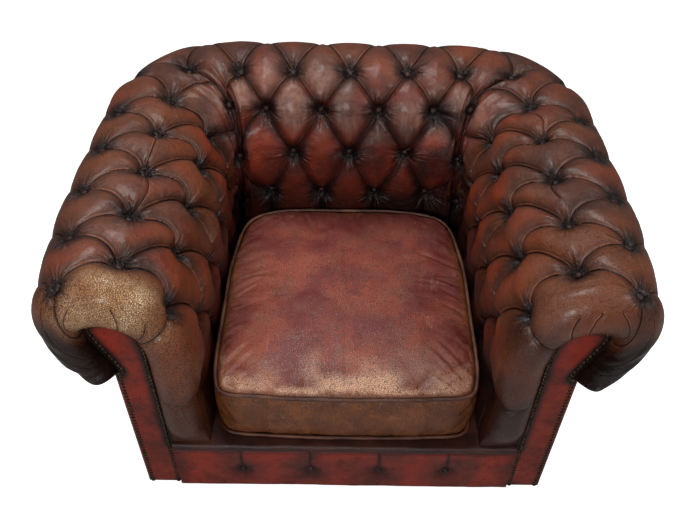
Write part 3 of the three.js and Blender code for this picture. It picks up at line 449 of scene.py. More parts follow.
def nearest_fold(lines, index, row, index_length, row_length):
    """Signed distance to the nearest line of folding, positive towards the back or upwards."""
    pleat = np.full(len(index), np.inf)
    for (ia, ra), (ib, rb) in lines:
        bx = (ib - ia) * index_length
        by = (rb - ra) * row_length
        ax = (index - ia) * index_length
        ay = (row - ra) * row_length
        length = np.hypot(bx, by)
        t = (ax * bx + ay * by) / length**2
        inside = clamp01(t)
        on_arm = max(abs(ia), abs(ib)) > CORNER_BUTTON and ra != rb
        facing = np.sign(by) * np.sign(ia + ib) if on_arm else np.sign(bx) + (bx == 0)
        bow = PLEAT_BOW * length * 4 * inside * (1 - inside) * on_arm
        side = facing * (bx * ay - by * ax) / length - bow
        away = np.hypot(side, (t - inside) * length)
        near = away < np.abs(pleat)
        pleat[near] = np.copysign(away, side)[near]
    return pleat


def surface_frame(index, row):
    """Places, outward directions and the lengths of one index and one row, before tufting."""
    step = 0.01
    here = cover_point(index, row)
    ahead = np.minimum(index + step, FRONT_INDEX + 1)
    behind = np.maximum(index - step, -FRONT_INDEX - 1)
    along = (cover_point(ahead, row) - cover_point(behind, row)) / (ahead - behind)[:, None]
    high = np.minimum(row + step, SECTION_END)
    low = np.maximum(row - step, SECTION_START)
    up = (cover_point(index, high) - cover_point(index, low)) / (high - low)[:, None]
    outward = np.cross(along, up)
    outward /= np.maximum(np.linalg.norm(outward, axis=1), 1e-9)[:, None]
    index_length = np.maximum(np.linalg.norm(along, axis=1), PIT_REACH)
    return here, outward, index_length, np.linalg.norm(up, axis=1)


def drawn_share(index, row, rim):
    """How fully the buttons draw the cover in: less at its edges, where thin, and outside."""
    edges = smooth((SECTION_END - row) / 1.4) * smooth((row - SECTION_START + 0.2) / 1.2)
    narrow = np.minimum(1, section_depth(index * PITCH_FIT, row) / FULL_TUFT_DEPTH)
    on_arm = smooth((np.abs(index) - CORNER_BUTTON + 0.5) / 1.5)
    outside = mix(OUTER_TUFT_BACK, OUTER_TUFT, on_arm)
    return edges * narrow * mix(1, outside, smooth((row - 3.2) / 0.7)) * (1 - smooth(rim))


def tuft_depth(pit, pleat, short):
    depth = PIT_DEPTH * decay(np.maximum(pit - PIT_FLOOR, 0), PIT_REACH)
    depth += PLEAT_DEPTH * decay(pleat, PLEAT_REACH)
    depth += PILLOW_DEPTH * decay(pleat, PILLOW_REACH)
    return depth + SHORT_FOLD_DEPTH * bell(short, SHORT_FOLD_WIDTH)


def corner_share(index, row):
    """One in the inner corners, nought away from them."""
    corner = smooth(1.2 - np.abs(np.abs(index) - CORNER_BUTTON) / 1.1)
    return corner * smooth((3.4 - row) / 1.2) * smooth((row + 1.4) / 1.2)


def fine_lift(index, row, here, pit, pleat, rays):
    """Lips of the pleats, creases round the buttons, folds in the corners and small waves."""
    lips = bell(pleat - 5, 3) - 0.7 * bell(pleat + 3, 3)
    lift = FOLD_HEIGHT * lips * smooth((pit - 12) / 20)
    reach = smooth((52 - pit) / 26) * decay(pit, 28) * (1 - bell(pit, 9))
    lift += RAY_HEIGHT * reach * noise(rays, 0.42, 4)
    stretched = np.stack([index * 6.5, row * 0.45, 0 * row], 1)
    lift += CORNER_FOLD_HEIGHT * corner_share(index, row) * noise(stretched, 1, 19)
    lift += smooth(pit / 30) * (2.2 * noise(here, 62, 1) + noise(here, 24, 2))
    return lift + 0.35 * noise(here, 9, 3)


def rim_gathers(index, row, rim):
    """Folds that fan out under the rolls at the fronts of the arms."""
    fan = np.stack([row * 5.1, np.sign(index) * 3.0, rim * 0.5], 1)
    onset = smooth((row - 4.2) / 0.5) * smooth((np.abs(index) - FRONT_INDEX + 0.6) / 0.9)
    ends = smooth((SECTION_END - row) / 0.4) * smooth((1 - rim) / 0.2)
    return GATHER_HEIGHT * noise(fan, 1, 17) * onset * ends


def tufted(index, row):
    """Points of the buttoned leather, their outward directions and what its look follows."""
    here, outward, index_length, row_length = surface_frame(index, row)
    pit, angle, which = nearest_button(index, row, index_length, row_length)
    pleat = nearest_fold(PLEATS, index, row, index_length, row_length)
    short = nearest_fold(SHORT_FOLDS, index, row, index_length, row_length)
    rays = np.stack([np.cos(angle), np.sin(angle), which * 3.7], 1)
    rim = np.maximum(np.abs(index) - FRONT_INDEX, 0)
    lift = fine_lift(index, row, here, pit, pleat, rays)
    moved = drawn_share(index, row, rim) * (lift - tuft_depth(pit, pleat, short))
    laid_index, laid_row = laid_place(index, row)
    depth = section_depth(laid_index * PITCH_FIT, laid_row)
    floor = -MOST_DRAWN * np.minimum(COVER_THICKNESS, COVER_SHARE * depth)
    moved = np.maximum(moved, floor) + rim_gathers(index, row, rim)
    measures = {"pit": pit, "pleat": pleat, "short": short, "rays": rays}
    return here + outward * moved[:, None], outward, measures


# Making meshes
def put_attribute(mesh, key, values):
    values = np.asarray(values, np.float32)
    if values.ndim == 2:
        layer = mesh.attributes.new(key, "FLOAT_VECTOR", "POINT")
        layer.data.foreach_set("vector", values.ravel())
    else:
        layer = mesh.attributes.new(key, "FLOAT", "POINT")
        layer.data.foreach_set("value", values)


def mesh_piece(name, points, faces, slot, nodes=(), attributes=None):
    """A smooth mesh from points in millimetres, riding with the chair."""
    mesh = bpy.data.meshes.new(name)
    mesh.from_pydata(to_row(points).tolist(), [], faces)
    mesh.update()
    mesh.shade_smooth()
    mesh.materials.append(LOOKS[slot])
    for key, values in (attributes or {}).items():
        put_attribute(mesh, key, values)
    piece = bpy.data.objects.new(name, mesh)
    bpy.context.scene.collection.objects.link(piece)
    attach(piece, "root")
    if nodes:
        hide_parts(*nodes)
    return piece


def grid_faces(columns, rows, wrap=False):
    """Quads of a grid whose points are listed column by column."""
    across = np.arange(columns if wrap else columns - 1)[:, None]
    up = np.arange(rows - 1)[None, :]
    a = across * rows + up
    b = (across + 1) % columns * rows + up
    return np.stack([a, b, b + 1, a + 1], -1).reshape(-1, 4).tolist()


def even_rows(index, count):
    """Row numbers at even lengths along the section."""
    rows = np.linspace(SECTION_START, SECTION_END, 2001)
    points = cover_point(np.full(len(rows), float(index)), rows)
    lengths = running_total(np.linalg.norm(np.diff(points, axis=0), axis=1))
    return np.interp(np.linspace(0, lengths[-1], count), lengths, rows)


# Materials
def linear(red, green, blue):
    """A colour read off a picture, 0 to 255, as a shader takes it."""
    values = (np.array([red, green, blue]) / 255 + 0.055) / 1.055
    return (*np.power(values, 2.4), 1.0)


class Look:
    """Builds one material's nodes."""

    def __init__(self, name):
        self.material = bpy.data.materials.new(name)
        self.material.use_nodes = True
        self.tree = self.material.node_tree
        self.shader = self.tree.nodes["Principled BSDF"]
        self.place = self.node("ShaderNodeTexCoord").outputs["Object"]

    def node(self, kind, inputs=None, **settings):
        made = self.tree.nodes.new(kind)
        for key, value in settings.items():
            setattr(made, key, value)
        for key, value in (inputs or {}).items():
            self.feed(made.inputs[key], value)
        return made

    def feed(self, socket, value):
        if isinstance(value, bpy.types.NodeSocket):
            self.tree.links.new(value, socket)
        else:
            socket.default_value = value

    def noise(self, size, detail=3.0, stretch=(1, 1, 1), rough=0.55):
        """Noise from 0 to 1 with features of about a size in metres."""
        place = self.node("ShaderNodeMapping", {"Vector": self.place, "Scale": stretch})
        inputs = {"Vector": place.outputs[0], "Scale": 1 / size, "Detail": detail, "Roughness": rough}
        return self.node("ShaderNodeTexNoise", inputs).outputs["Fac"]

    def cells(self, size):
        """Distance to the edges of cells of about a size in metres."""
        inputs = {"Vector": self.place, "Scale": 1 / size}
        made = self.node("ShaderNodeTexVoronoi", inputs, feature="DISTANCE_TO_EDGE")
        return made.outputs["Distance"]

    def range(self, value, low, high, to_low=0.0, to_high=1.0):
        inputs = {0: value, 1: low, 2: high, 3: to_low, 4: to_high}
        made = self.node("ShaderNodeMapRange", inputs, interpolation_type="SMOOTHSTEP")
        return made.outputs[0]

    def maths(self, operation, a, b=0.0):
        return self.node("ShaderNodeMath", {0: a, 1: b}, operation=operation).outputs[0]

    def times(self, a, b):
        return self.maths("MULTIPLY", a, b)

    def blend(self, factor, a, b):
        """Mixes two colours, each a socket, a shader colour or three numbers off a picture."""
        made = self.node("ShaderNodeMix", data_type="RGBA", clamp_factor=True)
        self.feed(made.inputs[0], factor)
        for socket, colour in ((made.inputs[6], a), (made.inputs[7], b)):
            read = isinstance(colour, tuple) and len(colour) == 3
            self.feed(socket, linear(*colour) if read else colour)
        return made.outputs[2]

    def lay(self, colour, *layers):
        """Lays colours over one another, each by its own factor."""
        for factor, tint in layers:
            colour = self.blend(factor, colour, tint)
        return colour

    def attribute(self, name, output="Fac"):
        return self.node("ShaderNodeAttribute", attribute_name=name).outputs[output]

    def noise_at(self, place, size, detail=2.0):
        inputs = {"Vector": place, "Scale": 1 / size, "Detail": detail}
        return self.node("ShaderNodeTexNoise", inputs).outputs["Fac"]

    def band(self, value, middle, width):
        """One at the middle of a narrow band, nought outside it."""
        away = self.maths("ABSOLUTE", self.maths("SUBTRACT", value, middle))
        return self.range(away, 0.0, width, 1.0, 0.0)

    def relief(self, *layers):
        """A normal from heights laid over one another, each with its depth in metres."""
        normal = None
        for value, depth in layers:
            inputs = {"Height": value, "Distance": depth, "Strength": 1.0}
            if normal is not None:
                inputs["Normal"] = normal
            normal = self.node("ShaderNodeBump", inputs).outputs[0]
        return normal

    def finish(self, colour, roughness, normal=None, **fixed):
        self.feed(self.shader.inputs["Base Color"], colour)
        self.feed(self.shader.inputs["Roughness"], roughness)
        if normal is not None:
            self.feed(self.shader.inputs["Normal"], normal)
        for key, value in fixed.items():
            self.shader.inputs[key.replace("_", " ")].default_value = value
        return self.material


def leather_relief(look, grain_size, grain_depth, wrinkle_depth):
    """Pebbled grain with finer wrinkles over it."""
    grain = look.range(look.cells(grain_size), 0.0, 0.35)
    fine = look.range(look.cells(grain_size * 0.45), 0.0, 0.4)
    wrinkles = look.noise(0.018, 5, rough=0.65)
    normal = look.relief((wrinkles, wrinkle_depth), (grain, grain_depth), (fine, grain_depth * 0.5))
    return normal, grain


def cover_relief(look, grain, pinch, rays, line, lip):
    return look.relief(
        (look.noise(0.018, 5, rough=0.6), 0.0008),
        (look.noise(0.012, 4, (0.2, 1, 1), 0.6), 0.0006),
        (look.times(rays, pinch), 0.014),
        (look.maths("SUBTRACT", lip, line), 0.0016),
        (look.range(look.noise(0.03, 6, rough=0.7), 0.45, 0.55), 0.0005),
        (grain, 0.00018),
        (look.times(grain, look.attribute("worn")), 0.0007),
    )


def cover_colour(look, grain, pinch, rays, line, lip):
    """Red and brown dye, golden places, a painted sheen on the crowns, the rubbed patch, a painted
    highlight on the pleat lips, and painted shade with the antique dye in the pits and folds.
    """
    patches = look.noise(0.11, 4)
    mottle = look.noise(0.045, 5)
    worn = look.attribute("worn")
    red = look.blend(look.range(patches, 0.4, 0.62), (52, 14, 10), (96, 24, 12))
    brown = look.blend(look.range(patches, 0.38, 0.62), (70, 40, 31), (104, 56, 36))
    golden = look.blend(grain, (44, 22, 14), (148, 78, 38))
    # vertical streaks of the painted crown sheen
    streaks = look.range(look.noise(0.01, 4, (1, 1, 0.15), 0.6), 0.35, 0.65, 0.45, 1.0)
    tanned = look.blend(grain, (74, 40, 24), (164, 104, 62))
    rubbed = look.blend(look.range(patches, 0.38, 0.62), (186, 138, 92), (250, 214, 168))
    # how strong the painted pleat-lip highlight is: weaker near the pits
    lip_highlight_share = look.range(pinch, 0.2, 0.8, 0.9, 0.25)
    lip_highlight_share = look.times(lip_highlight_share, look.range(patches, 0.4, 0.6, 0.3, 1.0))
    painted_crease_shade = look.times(look.range(rays, 0.42, 0.58, 1.0, 0.0), pinch)
    return look.lay(
        look.blend(look.attribute("tone"), red, brown),
        (look.attribute("glow"), (158, 54, 20)),
        (look.range(mottle, 0.5, 0.72, 0.0, 0.5), (50, 26, 21)),
        (look.attribute("gold"), golden),
        # painted sheen: pale vertical streaks over the crowns
        (look.times(look.attribute("painted_crown_sheen"), streaks), (158, 122, 106)),
        (look.range(look.noise(0.005, 4, rough=0.7), 0.48, 0.7, 0.0, 0.35), (138, 76, 44)),
        (look.range(worn, 0.0, 0.4), tanned),
        (look.range(worn, 0.35, 0.95), look.blend(grain, (118, 74, 44), rubbed)),
        # painted highlight along the lip beside each pleat
        (look.times(lip, lip_highlight_share), (178, 104, 72)),
        # painted shade from cover_shade, with the antique dye round the buttons
        (look.attribute("shade"), (14, 8, 8)),
        # painted shade in the creases that radiate from the buttons
        (look.times(painted_crease_shade, 0.85), (14, 8, 8)),
        # painted shade along each fold
        (look.times(line, 0.85), (12, 6, 5)),
    )


def cover_leather():
    look = Look("antiqued_buttoned_leather")
    near = look.attribute("near")
    fold = look.attribute("fold")
    pinch = look.attribute("pinch")
    # line: painted shade along each fold; lip: a painted highlight beside it; both also shape the
    # relief
    line = look.times(look.band(fold, -0.4, 1.7), near)
    lip = look.times(look.band(fold, 2.4, 2.0), near)
    rays = look.noise_at(look.attribute("rays", "Vector"), 0.17, 3)
    grain = look.range(look.cells(0.0031), 0.0, 0.24)
    normal = cover_relief(look, grain, pinch, rays, line, lip)
    colour = cover_colour(look, grain, pinch, rays, line, lip)
    polished = look.range(look.attribute("polish"), 0.0, 1.0, 0.0, 0.18)
    rough = look.maths("SUBTRACT", look.range(pinch, 0.1, 0.6, 0.44, 0.27), polished)
    fixed = {"Coat_Weight": 0.14, "Coat_Roughness": 0.24, "Specular_IOR_Level": 0.36}
    return look.finish(colour, rough, normal, **fixed)


def plain_leather(name, low, high, dark):
    look = Look(name)
    normal, grain = leather_relief(look, 0.0028, 0.0002, 0.0006)
    patches = look.noise(0.07, 5)
    colour = look.lay(
        look.blend(look.range(patches, 0.35, 0.68), low, high),
        (look.range(look.noise(0.02, 6, rough=0.7), 0.56, 0.72, 0.0, 0.6), dark),
        (look.range(grain, 0.0, 0.5, 0.25, 0.0), dark),
        (look.attribute("shade"), dark),
    )
    rough = look.range(patches, 0.3, 0.7, 0.34, 0.48)
    return look.finish(colour, rough, normal, Specular_IOR_Level=0.36)


def facing_leather():
    look = Look("rubbed_facing_leather")
    normal, _ = leather_relief(look, 0.0026, 0.0002, 0.0008)
    clouds = look.noise(0.06, 4)
    scuffs = look.noise(0.02, 6, rough=0.7)
    rubbed = look.times(look.attribute("glow"), look.range(clouds, 0.3, 0.6, 0.25, 0.9))
    colour = look.lay(
        look.blend(look.range(clouds, 0.35, 0.65), (72, 28, 22), (106, 36, 26)),
        (rubbed, (142, 40, 22)),
        (look.range(scuffs, 0.52, 0.7, 0.0, 0.45), (34, 14, 12)),
        (look.range(look.noise(0.004, 3, rough=0.7), 0.64, 0.72, 0.0, 0.6), (186, 132, 104)),
        # painted shade along the facings' edges and in the border's pits, pleats and edges
        (look.attribute("shade"), (18, 9, 8)),
    )
    rough = look.range(scuffs, 0.3, 0.7, 0.34, 0.54)
    return look.finish(colour, rough, normal, Specular_IOR_Level=0.3)


def cushion_leather():
    look = Look("worn_cushion_leather")
    grain = look.range(look.cells(0.004), 0.0, 0.24)
    veins = look.band(look.noise(0.045, 1.5, (1, 0.16, 1), 0.5), 0.5, 0.014)
    veins = look.times(veins, look.range(look.noise(0.09, 2), 0.5, 0.66))
    streaks = look.noise(0.012, 4, (0.2, 1, 1), 0.6)
    normal = look.relief(
        (look.noise(0.02, 5, rough=0.6), 0.0012),
        (look.times(streaks, look.attribute("edge")), 0.003),
        (grain, 0.00035),
    )
    patches = look.noise(0.13, 5)
    drift = look.noise(0.05, 5, rough=0.65)
    golden = look.blend(look.range(drift, 0.3, 0.7), (98, 52, 22), (136, 76, 32))
    colour = look.lay(
        look.blend(look.range(patches, 0.38, 0.62), (124, 42, 38), (166, 78, 54)),
        (look.range(drift, 0.45, 0.7, 0.0, 0.55), (140, 92, 70)),
        (look.attribute("back"), (98, 32, 30)),
        (look.attribute("edge"), (86, 40, 32)),
        # painted highlight on the rolled front edge, with wear paler towards the front
        (look.attribute("front"), (255, 204, 164)),
        (look.attribute("side"), golden),
        (look.times(veins, 0.3), (196, 146, 112)),
        # painted shade in the seam grooves and along the bottom
        (look.attribute("shade"), (34, 16, 12)),
        (look.range(grain, 0.0, 0.7, 0.75, 0.0), (52, 20, 17)),
    )
    return look.finish(colour, look.range(patches, 0.3, 0.7, 0.36, 0.5), normal)


def grained_timber(name, low, high, rough):
    look = Look(name)
    rings = look.noise(0.012, 4, (1, 0.12, 1))
    pores = look.noise(0.002, 3, (1, 0.05, 1))
    colour = look.blend(look.range(rings, 0.3, 0.7), low, high)
    rough = look.range(pores, 0.3, 0.7, rough - 0.06, rough + 0.06)
    return look.finish(colour, rough, look.relief((pores, 0.0002)))


def woven(name, low, high, size):
    look = Look(name)
    warp = look.noise(size, 2, (1, 0.1, 1))
    weft = look.noise(size, 2, (0.1, 1, 1))
    weave = look.maths("ADD", warp, weft)
    colour = look.blend(look.range(weave, 0.7, 1.3), low, high)
    return look.finish(colour, 0.92, look.relief((weave, size * 0.3)))


def nail_metal():
    look = Look("antique_bronze_nails")
    tarnish = look.noise(0.006, 4)
    colour = look.blend(look.range(tarnish, 0.35, 0.65), (24, 19, 15), (74, 56, 38))
    rough = look.range(tarnish, 0.3, 0.7, 0.28, 0.5)
    return look.finish(colour, rough, look.relief((tarnish, 0.0002)), Metallic=0.85)


LOOKS = {
    "roll_leather": cover_leather(),
    "facing_leather": facing_leather(),
    "panel_leather": plain_leather("panel_leather", (60, 29, 23), (90, 46, 36), (24, 12, 10)),
    "cushion_leather": cushion_leather(),
    "piping_leather": plain_leather("piping_leather", (66, 34, 24), (112, 70, 50), (30, 14, 10)),
    "button_leather": plain_leather("button_leather", (30, 13, 11), (58, 26, 20), (12, 6, 5)),
    "filling": woven("filling", (176, 160, 128), (216, 204, 176), 0.003),
    "frame_timber": grained_timber("frame_timber", (150, 112, 72), (190, 152, 106), 0.6),
    "foot_timber": grained_timber("foot_timber", (34, 20, 12), (66, 40, 24), 0.36),
    "webbing": woven("webbing", (112, 92, 60), (154, 130, 92), 0.004),
    "nails": nail_metal(),
    "dust_cloth": woven("dust_cloth", (18, 18, 20), (40, 40, 42), 0.002),
}


def dress_nodes():
    """Gives every solid the material of its slot."""
    for part in frame["record"]["subparts"]:
        solid = frame["nodes"][part["node"]]
        solid.data.materials.clear()
        solid.data.materials.append(LOOKS[part["material_slot"]])


# Buttoned covers
ROW_POINTS = 380
BACK_POINTS = 240
ARM_POINTS = 200
RIM_POINTS = 48


def tan_patch(index, row):
    """The rubbed patch on the front of the left arm's roll."""
    across = (row - 3.1) / 1.3
    along = (np.abs(index) - 9.1) / 0.95
    return smooth((1.25 - np.hypot(across, along)) / 0.7) * (index < 0)


def cover_shade(points, index, row, measures, pad, under):
    """Painted shade, with the antique dye in the pits: darker in the pits and pleats, low down, on
    the inner front pads, in the corners and below the rolls.
    """
    pit = measures["pit"]
    pleat = measures["pleat"]
    dye_and_shade_reach = 31 + 12 * noise(points, 45, 9)
    # painted shade low down, towards the seat
    low = (1 - smooth((row + 0.4) / 2.1)) * np.where(index < -4, 0.62, 0.85)
    pads = np.where(index > 0, 0.42, 0.26) + 0.3 * noise(points, 60, 14)
    return most(
        # the antique dye round the buttons, deepened as painted shade in the pits
        0.99 * np.exp(-((pit / dye_and_shade_reach) ** 3)),
        # painted shade along the pleats
        0.75 * decay(pleat, 5) * smooth(1.6 - pit / 60),
        0.55 * decay(pleat, 8),
        pad * pads,
        low,
        # painted shade below the rolls
        0.92 * under,
        # painted shade in the inner corners
        0.5 * corner_share(index, row) * smooth((2.2 - row) / 1.5),
    )


def cover_attributes(points, index, row, measures):
    """What the leather's colours and marks follow."""
    pit = measures["pit"]
    pleat = measures["pleat"]
    short = measures["short"]
    away = np.abs(index)
    arm = smooth((away - CORNER_BUTTON) / 1.5)
    crown = smooth((np.abs(pleat) - 5) / 24) * smooth((pit - 18) / 30)
    pad = smooth((away - 8.1) / 0.5) * (1 - smooth((row - 1.6) / 1.2))
    over = smooth((away - FRONT_INDEX + 0.1) / 0.5)
    under = smooth((row - 4.5 + 0.7 * over) / 0.7)
    inner = 1 - smooth((row - mix(1.2, 2.3, arm) - 0.5 * noise(points, 120, 8)) / 0.7)
    glow = crown * inner * smooth(0.45 + 1.3 * noise(points, 75, 6)) * mix(0.8, 0.45, arm)
    # painted sheen on the crowns of the middle rows, weaker on the arms
    painted_crown_sheen = crown * smooth(1.4 - np.abs(row - 2.1) / 0.7) * (1 - 0.8 * arm)
    gold = arm * (1 - pad) * smooth(0.3 + 1.3 * noise(points, 110, 10)) * (1 - 0.8 * under)
    gold *= 0.6 * smooth((row + 0.4) / 1.2)
    tight = smooth(1.5 - np.abs(away - CORNER_BUTTON) / 0.4) * smooth((2.6 - row) / 0.6)
    line = np.where(np.abs(short) < np.abs(pleat), short, pleat)
    return {
        "tone": smooth((row - 1.7 + 1.3 * arm + 0.8 * noise(points, 90, 5)) / 1.5),
        "glow": most(glow, 0.25 * crown * smooth(0.1 + 1.4 * noise(points, 130, 7))),
        "shade": cover_shade(points, index, row, measures, pad, under),
        "worn": tan_patch(index, row) * smooth(pit / 26) * (0.78 + 0.35 * noise(points, 42, 15)),
        "pinch": decay(pit, 36) * smooth(pit / 10) * smooth((62 - pit) / 28),
        "near": smooth(1.2 - np.abs(line) / 10) * smooth((pit - 8) / 8) * (1 - tight),
        "fold": np.clip(line, -14, 14),
        "gold": most(gold, pad * np.where(index < 0, 0.9, 0.5)),
        "painted_crown_sheen": 0.62 * painted_crown_sheen * smooth(0.55 + 1.1 * noise(points, 80, 12)),
        "polish": smooth((away - 8.2) / 0.8),
        "rays": measures["rays"],
    }


def buttoned_cover(name, columns, rows):
    index, row = (v.ravel() for v in np.meshgrid(columns, rows, indexing="ij"))
    points, _, measures = tufted(index, row)
    attributes = cover_attributes(points, index, row, measures)
    faces = grid_faces(len(columns), len(rows))
    piece = mesh_piece(name + "_fine", points, faces, "roll_leather", [name], attributes)


def add_covers():
    """The back's cover reaches from corner to corner, and each arm's runs on over its rim."""
    rows = even_rows(6, ROW_POINTS)
    back = np.linspace(-CORNER_BUTTON, CORNER_BUTTON, BACK_POINTS)
    buttoned_cover("back_buttoned_cover", back, rows)
    body = np.linspace(CORNER_BUTTON, FRONT_INDEX, ARM_POINTS)
    rim = np.linspace(FRONT_INDEX, FRONT_INDEX + 1, RIM_POINTS)[1:]
    arm = np.concatenate([body, rim])
    buttoned_cover("arm_buttoned_cover_right", arm, rows)
    buttoned_cover("arm_buttoned_cover_left", -arm[::-1], rows)


def dome_points(radius, height, rings=4, sides=14):
    """Points and faces of a low dome over z = 0."""
    points = [(0, 0, height)]
    faces = []
    for ring in range(1, rings + 1):
        turn = math.pi / 2 * ring / rings
        for side in range(sides):
            a = 2 * math.pi * side / sides
            r = radius * math.sin(turn)
            points.append((r * math.cos(a), r * math.sin(a), height * math.cos(turn)))
    for side in range(sides):
        after = (side + 1) % sides
        faces.append((0, 1 + side, 1 + after))
        for ring in range(rings - 1):
            a = 1 + ring * sides
            faces.append((a + side, a + sides + side, a + sides + after, a + after))
    return np.array(points), faces


def turned_to(normal):
    """Rotation that takes +Z to a direction."""
    z = np.asarray(normal) / np.linalg.norm(normal)
    x = np.cross((0, 0, 1) if abs(z[2]) < 0.9 else (1, 0, 0), z)
    x /= np.linalg.norm(x)
    return np.stack([x, np.cross(z, x), z], 1)


def many_domes(name, places, normals, radius, height, slot, nodes=()):
    points, faces = dome_points(radius, height)
    all_points = []
    all_faces = []
    for place, normal in zip(places, normals):
        start = len(all_points) * len(points)
        all_points.append(points @ turned_to(normal).T + place)
        all_faces += [tuple(v + start for v in face) for face in faces]
    mesh_piece(name, np.concatenate(all_points), all_faces, slot, nodes)


def add_tuft_buttons():
    groups = {"back": [], "arm_left": [], "arm_right": []}
    for index, row in BUTTONS:
        side = "back" if abs(index) <= CORNER_BUTTON else "arm_left" if index < 0 else "arm_right"
        groups[side].append((index, row))
    for side, members in groups.items():
        index, row = (np.array(v, float) for v in zip(*members))
        points, outward, _ = tufted(index, row)
        places = points + outward * 0.5
        name = "tuft_buttons_" + side
        many_domes(name, places, outward, BUTTON_RADIUS, BUTTON_HEIGHT, "button_leather")


# Facing nails
def facing_path(margin):
    """The facing's outline as insets and heights, drawn in by a margin."""
    rows = np.linspace(SECTION_START, SECTION_END, 400)
    upper = FACING.share(np.interp(rows, ROW_STOPS, FACING_STOPS))
    line = np.concatenate([[(STRIP_WIDTH, BASE_BOTTOM)], upper, [(0, TUCK_HEIGHT), (0, BASE_BOTTOM)]])
    along = np.gradient(line, axis=0)
    along /= np.linalg.norm(along, axis=1)[:, None]
    return line + np.stack([-along[:, 1], along[:, 0]], 1) * margin


def outline_distance(points, outline):
    return np.sqrt(((points[:, None] - outline[None]) ** 2).sum(-1)).min(1)


def add_facings():
    """The facing leather, with painted shade along its edges, rubbed red in the middle and a little
    padded.
    """
    outline = facing_path(0)
    steps = np.linalg.norm(np.diff(outline, axis=0, append=outline[:1]), axis=1)
    outline = outline[steps > 0.5]
    count = len(outline)
    low = outline.min(0)
    high = outline.max(0)
    across, up = np.meshgrid(np.arange(low[0] + 4, high[0], 4), np.arange(low[1] + 4, high[1], 4))
    inner = np.stack([across.ravel(), up.ravel()], 1)
    inner = inner[outline_distance(inner, outline) > 2.5]
    seeds = [Vector(p) for p in np.concatenate([outline, inner]).tolist()]
    edges = [(k, (k + 1) % count) for k in range(count)]
    flat, _, faces, *_ = delaunay_2d_cdt(seeds, edges, [list(range(count))], 1, 0.01)
    flat = np.array(flat)
    away = outline_distance(flat, outline)
    depth = 1.2 - 2.6 * smooth(away / 22)
    # painted shade along the edges
    shade = 0.95 * (1 - smooth((away - 11) / 16))
    low_end = 1 - smooth((flat[:, 1] - 300) / 200)
    glow = 0.9 * smooth((away - 12) / 18) * mix(1, 0.5, low_end)
    for name, side in (("left", -1), ("right", 1)):
        points = np.stack([side * (HALF_WIDTH - flat[:, 0]), depth, flat[:, 1]], 1)
        turned = [face[:: -side] for face in faces]
        node = "facing_leather_" + name
        attributes = {"shade": shade, "glow": glow}
        piece = mesh_piece(node + "_fine", points, turned, "facing_leather", [node], attributes)


def add_nails():
    line = facing_path(NAIL_INSET)
    lengths = running_total(np.hypot(*np.diff(line, axis=0).T))
    count = int(lengths[-1] / NAIL_PITCH)
    at = (np.arange(count) + 0.5) * lengths[-1] / count
    inset = np.interp(at, lengths, line[:, 0])
    level = np.interp(at, lengths, line[:, 1])
    for name, side in (("left", -1), ("right", 1)):
        places = np.stack([side * (HALF_WIDTH - inset), 0 * inset - GAP, level], 1)
        normals = [(0, -1, 0)] * count
        node = "facing_nail_row_" + name
        many_domes("nails_" + name, places, normals, NAIL_RADIUS, NAIL_HEIGHT, "nails", [node])


# Loose seat cushion
EVEN_MESH = 0.007  # metres
FILL_PRESSURE = 4.0
FILL_SLACK = 0.03
FILL_FRAMES = 20
FILL_REACH = 13


def closed_curve(points, count):
    """Even points on a smooth closed curve, with each span eased by the root of its length."""
    points = np.array(points, float)
    before = np.roll(points, 1, 0)
    after = np.roll(points, -1, 0)
    beyond = np.roll(points, -2, 0)

    def span(a, b):
        return np.sqrt(np.hypot(*(b - a).T))[:, None]

    d0 = span(before, points)
    d1 = span(points, after)
    d2 = span(after, beyond)
    v0 = ((points - before) / d0 - (after - before) / (d0 + d1) + (after - points) / d1) * d1
    v1 = ((after - points) / d1 - (beyond - points) / (d1 + d2) + (beyond - after) / d2) * d1
    w = np.linspace(0, 1, 40, endpoint=False)[None, :, None]
    a, b, v0, v1 = (v[:, None] for v in (points, after, v0, v1))
    loop = cubic(a, b, v0, v1, w).reshape(-1, 2)
    loop = np.concatenate([loop, loop[:1]])
    lengths = running_total(np.hypot(*np.diff(loop, axis=0).T))
    at = np.arange(count) / count * lengths[-1]
    return np.stack([np.interp(at, lengths, loop[:, k]) for k in (0, 1)], 1)


def cushion_outline(count):
    half = CUSHION_HALF_WIDTH
    depth = CUSHION_BACK - CUSHION_FRONT
    right = [
        (half * 0.6, CUSHION_FRONT + 4),
        (half - 24, CUSHION_FRONT + 16),
        (half - 8, CUSHION_FRONT + 50),
        (half, CUSHION_FRONT + depth * 0.4),
        (half - 2, CUSHION_FRONT + depth * 0.7),
        (half - 30, CUSHION_BACK - 48),
        (half * 0.66, CUSHION_BACK - 10),
    ]
    left = [(-x, y) for x, y in reversed(right)]
    return closed_curve([(0, CUSHION_FRONT), *right, (0, CUSHION_BACK), *left], count)


CUSHION_MIDDLE = (CUSHION_FRONT + CUSHION_BACK) / 2


def outline_normals(outline):
    along = np.roll(outline, -1, 0) - np.roll(outline, 1, 0)
    along /= np.linalg.norm(along, axis=1)[:, None]
    return np.stack([along[:, 1], -along[:, 0]], 1)


